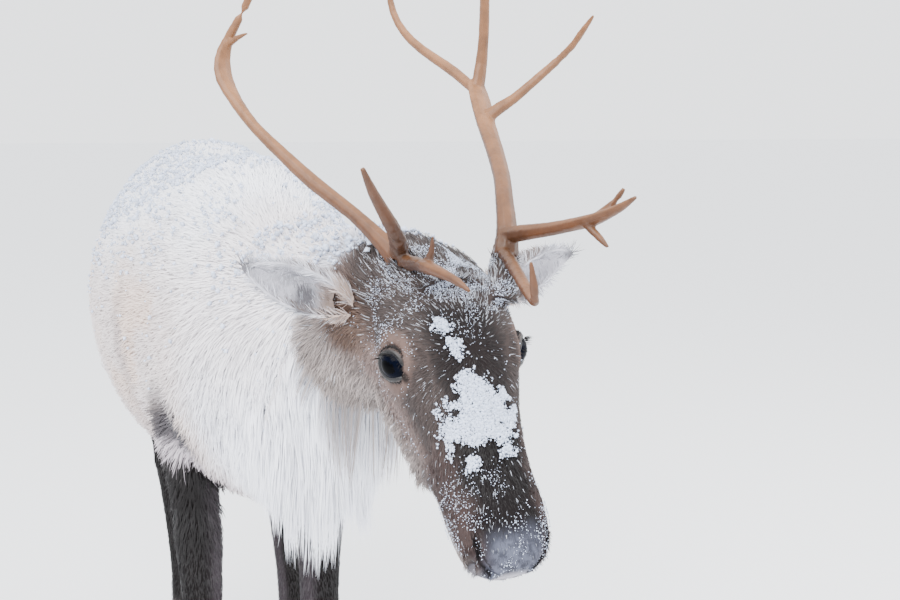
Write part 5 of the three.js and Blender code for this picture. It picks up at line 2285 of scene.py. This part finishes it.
FINISHES = {
    "skin": Finish("undercoat", 0.85, 0.2, 500, 0.5, 700, 0.4, 0.15),
    "coat": Finish("winter coat", 0.62, 0.08, 240, specular=0.25),
    "mane": Finish("mane hair", 0.58, 0.08, 240, specular=0.3),
    "face": Finish("face hair", 0.6, 0.14, 300, specular=0.25),
    "leg": Finish("leg hair", 0.55, 0.14, 300, specular=0.3),
    "ear": Finish("ear hair", 0.62, 0.1, 300, specular=0.25),
    "lid": Finish("bare lid", 0.42, 0.1, 300, 0.3, 900, specular=0.4),
    "eye": Finish("eye", 0.08, 0.0, 100, specular=0.03),
    "antler": Finish("antler bone", 0.5, 0.22, 60, 0.35, 260, 0.35, 0.4),
    "claw": Finish("hoof horn", 0.48, 0.24, 90, 0.4, 320, 3.0, 0.4),
    "frost": Finish("frost", 0.45, 0.04, 400, specular=0.4),
}


def finishes() -> dict[str, bpy.types.Material]:
    """Every material by its short name."""
    tone, relief = tone_group(), relief_group()
    return {name: finish.build(tone, relief) for name, finish in FINISHES.items()}


# The studio


@dataclass(frozen=True)
class Studio:
    """The camera at the photo's place, a pale floor and soft light from all round."""

    camera_place: tuple[float, float, float] = (-0.238, -1.684, 1.068)
    heading: tuple[float, float] = (0.292, 0.956)
    pitch: float = 8.19
    lens: float = 50
    sky: float = 2.5
    key: float = 270
    key_size: float = 3.0
    key_place: tuple[float, float, float] = (-1.6, -2.2, 3.2)
    fill_place: tuple[float, float, float] = (2.6, -0.8, 2.6)
    fill_share: float = 0.4
    shoulder: tuple[float, float, float] = (0, -0.2, 0.7)
    floor_half: float = 60.0

    def build(self) -> None:
        """Sets the studio up."""
        self.camera()
        self.floor()
        self.lights()

    def camera(self) -> None:
        """The camera, made the scene's own."""
        data = bpy.data.cameras.new("camera")
        data.lens = self.lens
        data.sensor_width = 36
        data.clip_start = 0.01
        camera = bpy.data.objects.new("camera", data)
        bpy.context.scene.collection.objects.link(camera)
        camera.location = Vector(ORIGIN) + Vector(self.camera_place)
        drop = math.tan(math.radians(self.pitch)) * math.hypot(*self.heading)
        ahead = Vector((*self.heading, -drop))
        camera.rotation_euler = ahead.to_track_quat("-Z", "Y").to_euler()
        bpy.context.scene.camera = camera

    def floor(self) -> None:
        """A plain pale floor."""
        half = self.floor_half
        corners = np.array([[-half, -half, 0], [half, -half, 0], [half, half, 0], [-half, half, 0]])
        floor = new_mesh("floor", corners, np.array([[0, 1, 2, 3]]))
        nodes = Nodes("pale floor")
        nodes.constants(Roughness=0.9, Specular_IOR_Level=0.1)
        nodes.shader.inputs["Base Color"].default_value = (0.93, 0.94, 0.955, 1)
        floor.data.materials.append(nodes.material)

    def lights(self) -> None:
        """An even sky and two large soft lamps."""
        world = bpy.data.worlds.new("soft sky")
        world.use_nodes = True
        sky = world.node_tree.nodes["Background"]
        sky.inputs["Color"].default_value = (0.95, 0.97, 1.0, 1)
        sky.inputs["Strength"].default_value = self.sky
        bpy.context.scene.world = world
        self.lamp("key", self.key_place, self.key)
        self.lamp("fill", self.fill_place, self.key * self.fill_share)

    def lamp(self, name: str, place: tuple[float, float, float], power: float) -> None:
        """A large square lamp that faces the animal's shoulder.

        Args:
            name: its name.
            place: its place.
            power: its power in watts.
        """
        data = bpy.data.lights.new(name, "AREA")
        data.energy = power
        data.size = self.key_size
        lamp = bpy.data.objects.new(name, data)
        bpy.context.scene.collection.objects.link(lamp)
        lamp.location = place
        way = Vector(self.shoulder) - lamp.location
        lamp.rotation_euler = way.to_track_quat("-Z", "Y").to_euler()


def main() -> None:
    """Builds the animal piece by piece, then the studio."""
    logging.basicConfig(level=logging.INFO, format="%(name)s: %(message)s")
    share = 1.0
    made = finishes()
    skin, surface = Skin().build(made["skin"])
    LOG.info("%s: %d triangles", skin.name, len(surface.triangles))
    pieces = Coat(surface, thin=share).build(made)
    pieces.append(Mane(surface, thin=share).build(made["mane"]))
    for side in SIDES:
        eye = Eye(side)
        pieces += [eye.eyeball(made["eye"]), eye.lids(made["lid"])]
        pieces += [eye.lid_hair(made["face"]), eye.lash_row(made["face"])]
        pieces.append(Antler(side).build(made["antler"]))
    pieces += [Hoof(leg).build(made["claw"]) for leg in LEGS]
    pieces.append(Frost().build(surface, made["frost"]))
    for piece in pieces:
        LOG.info("%s: %d faces", piece.name, len(piece.data.polygons))
    Studio().build()


if __name__ == "__main__":
    main()
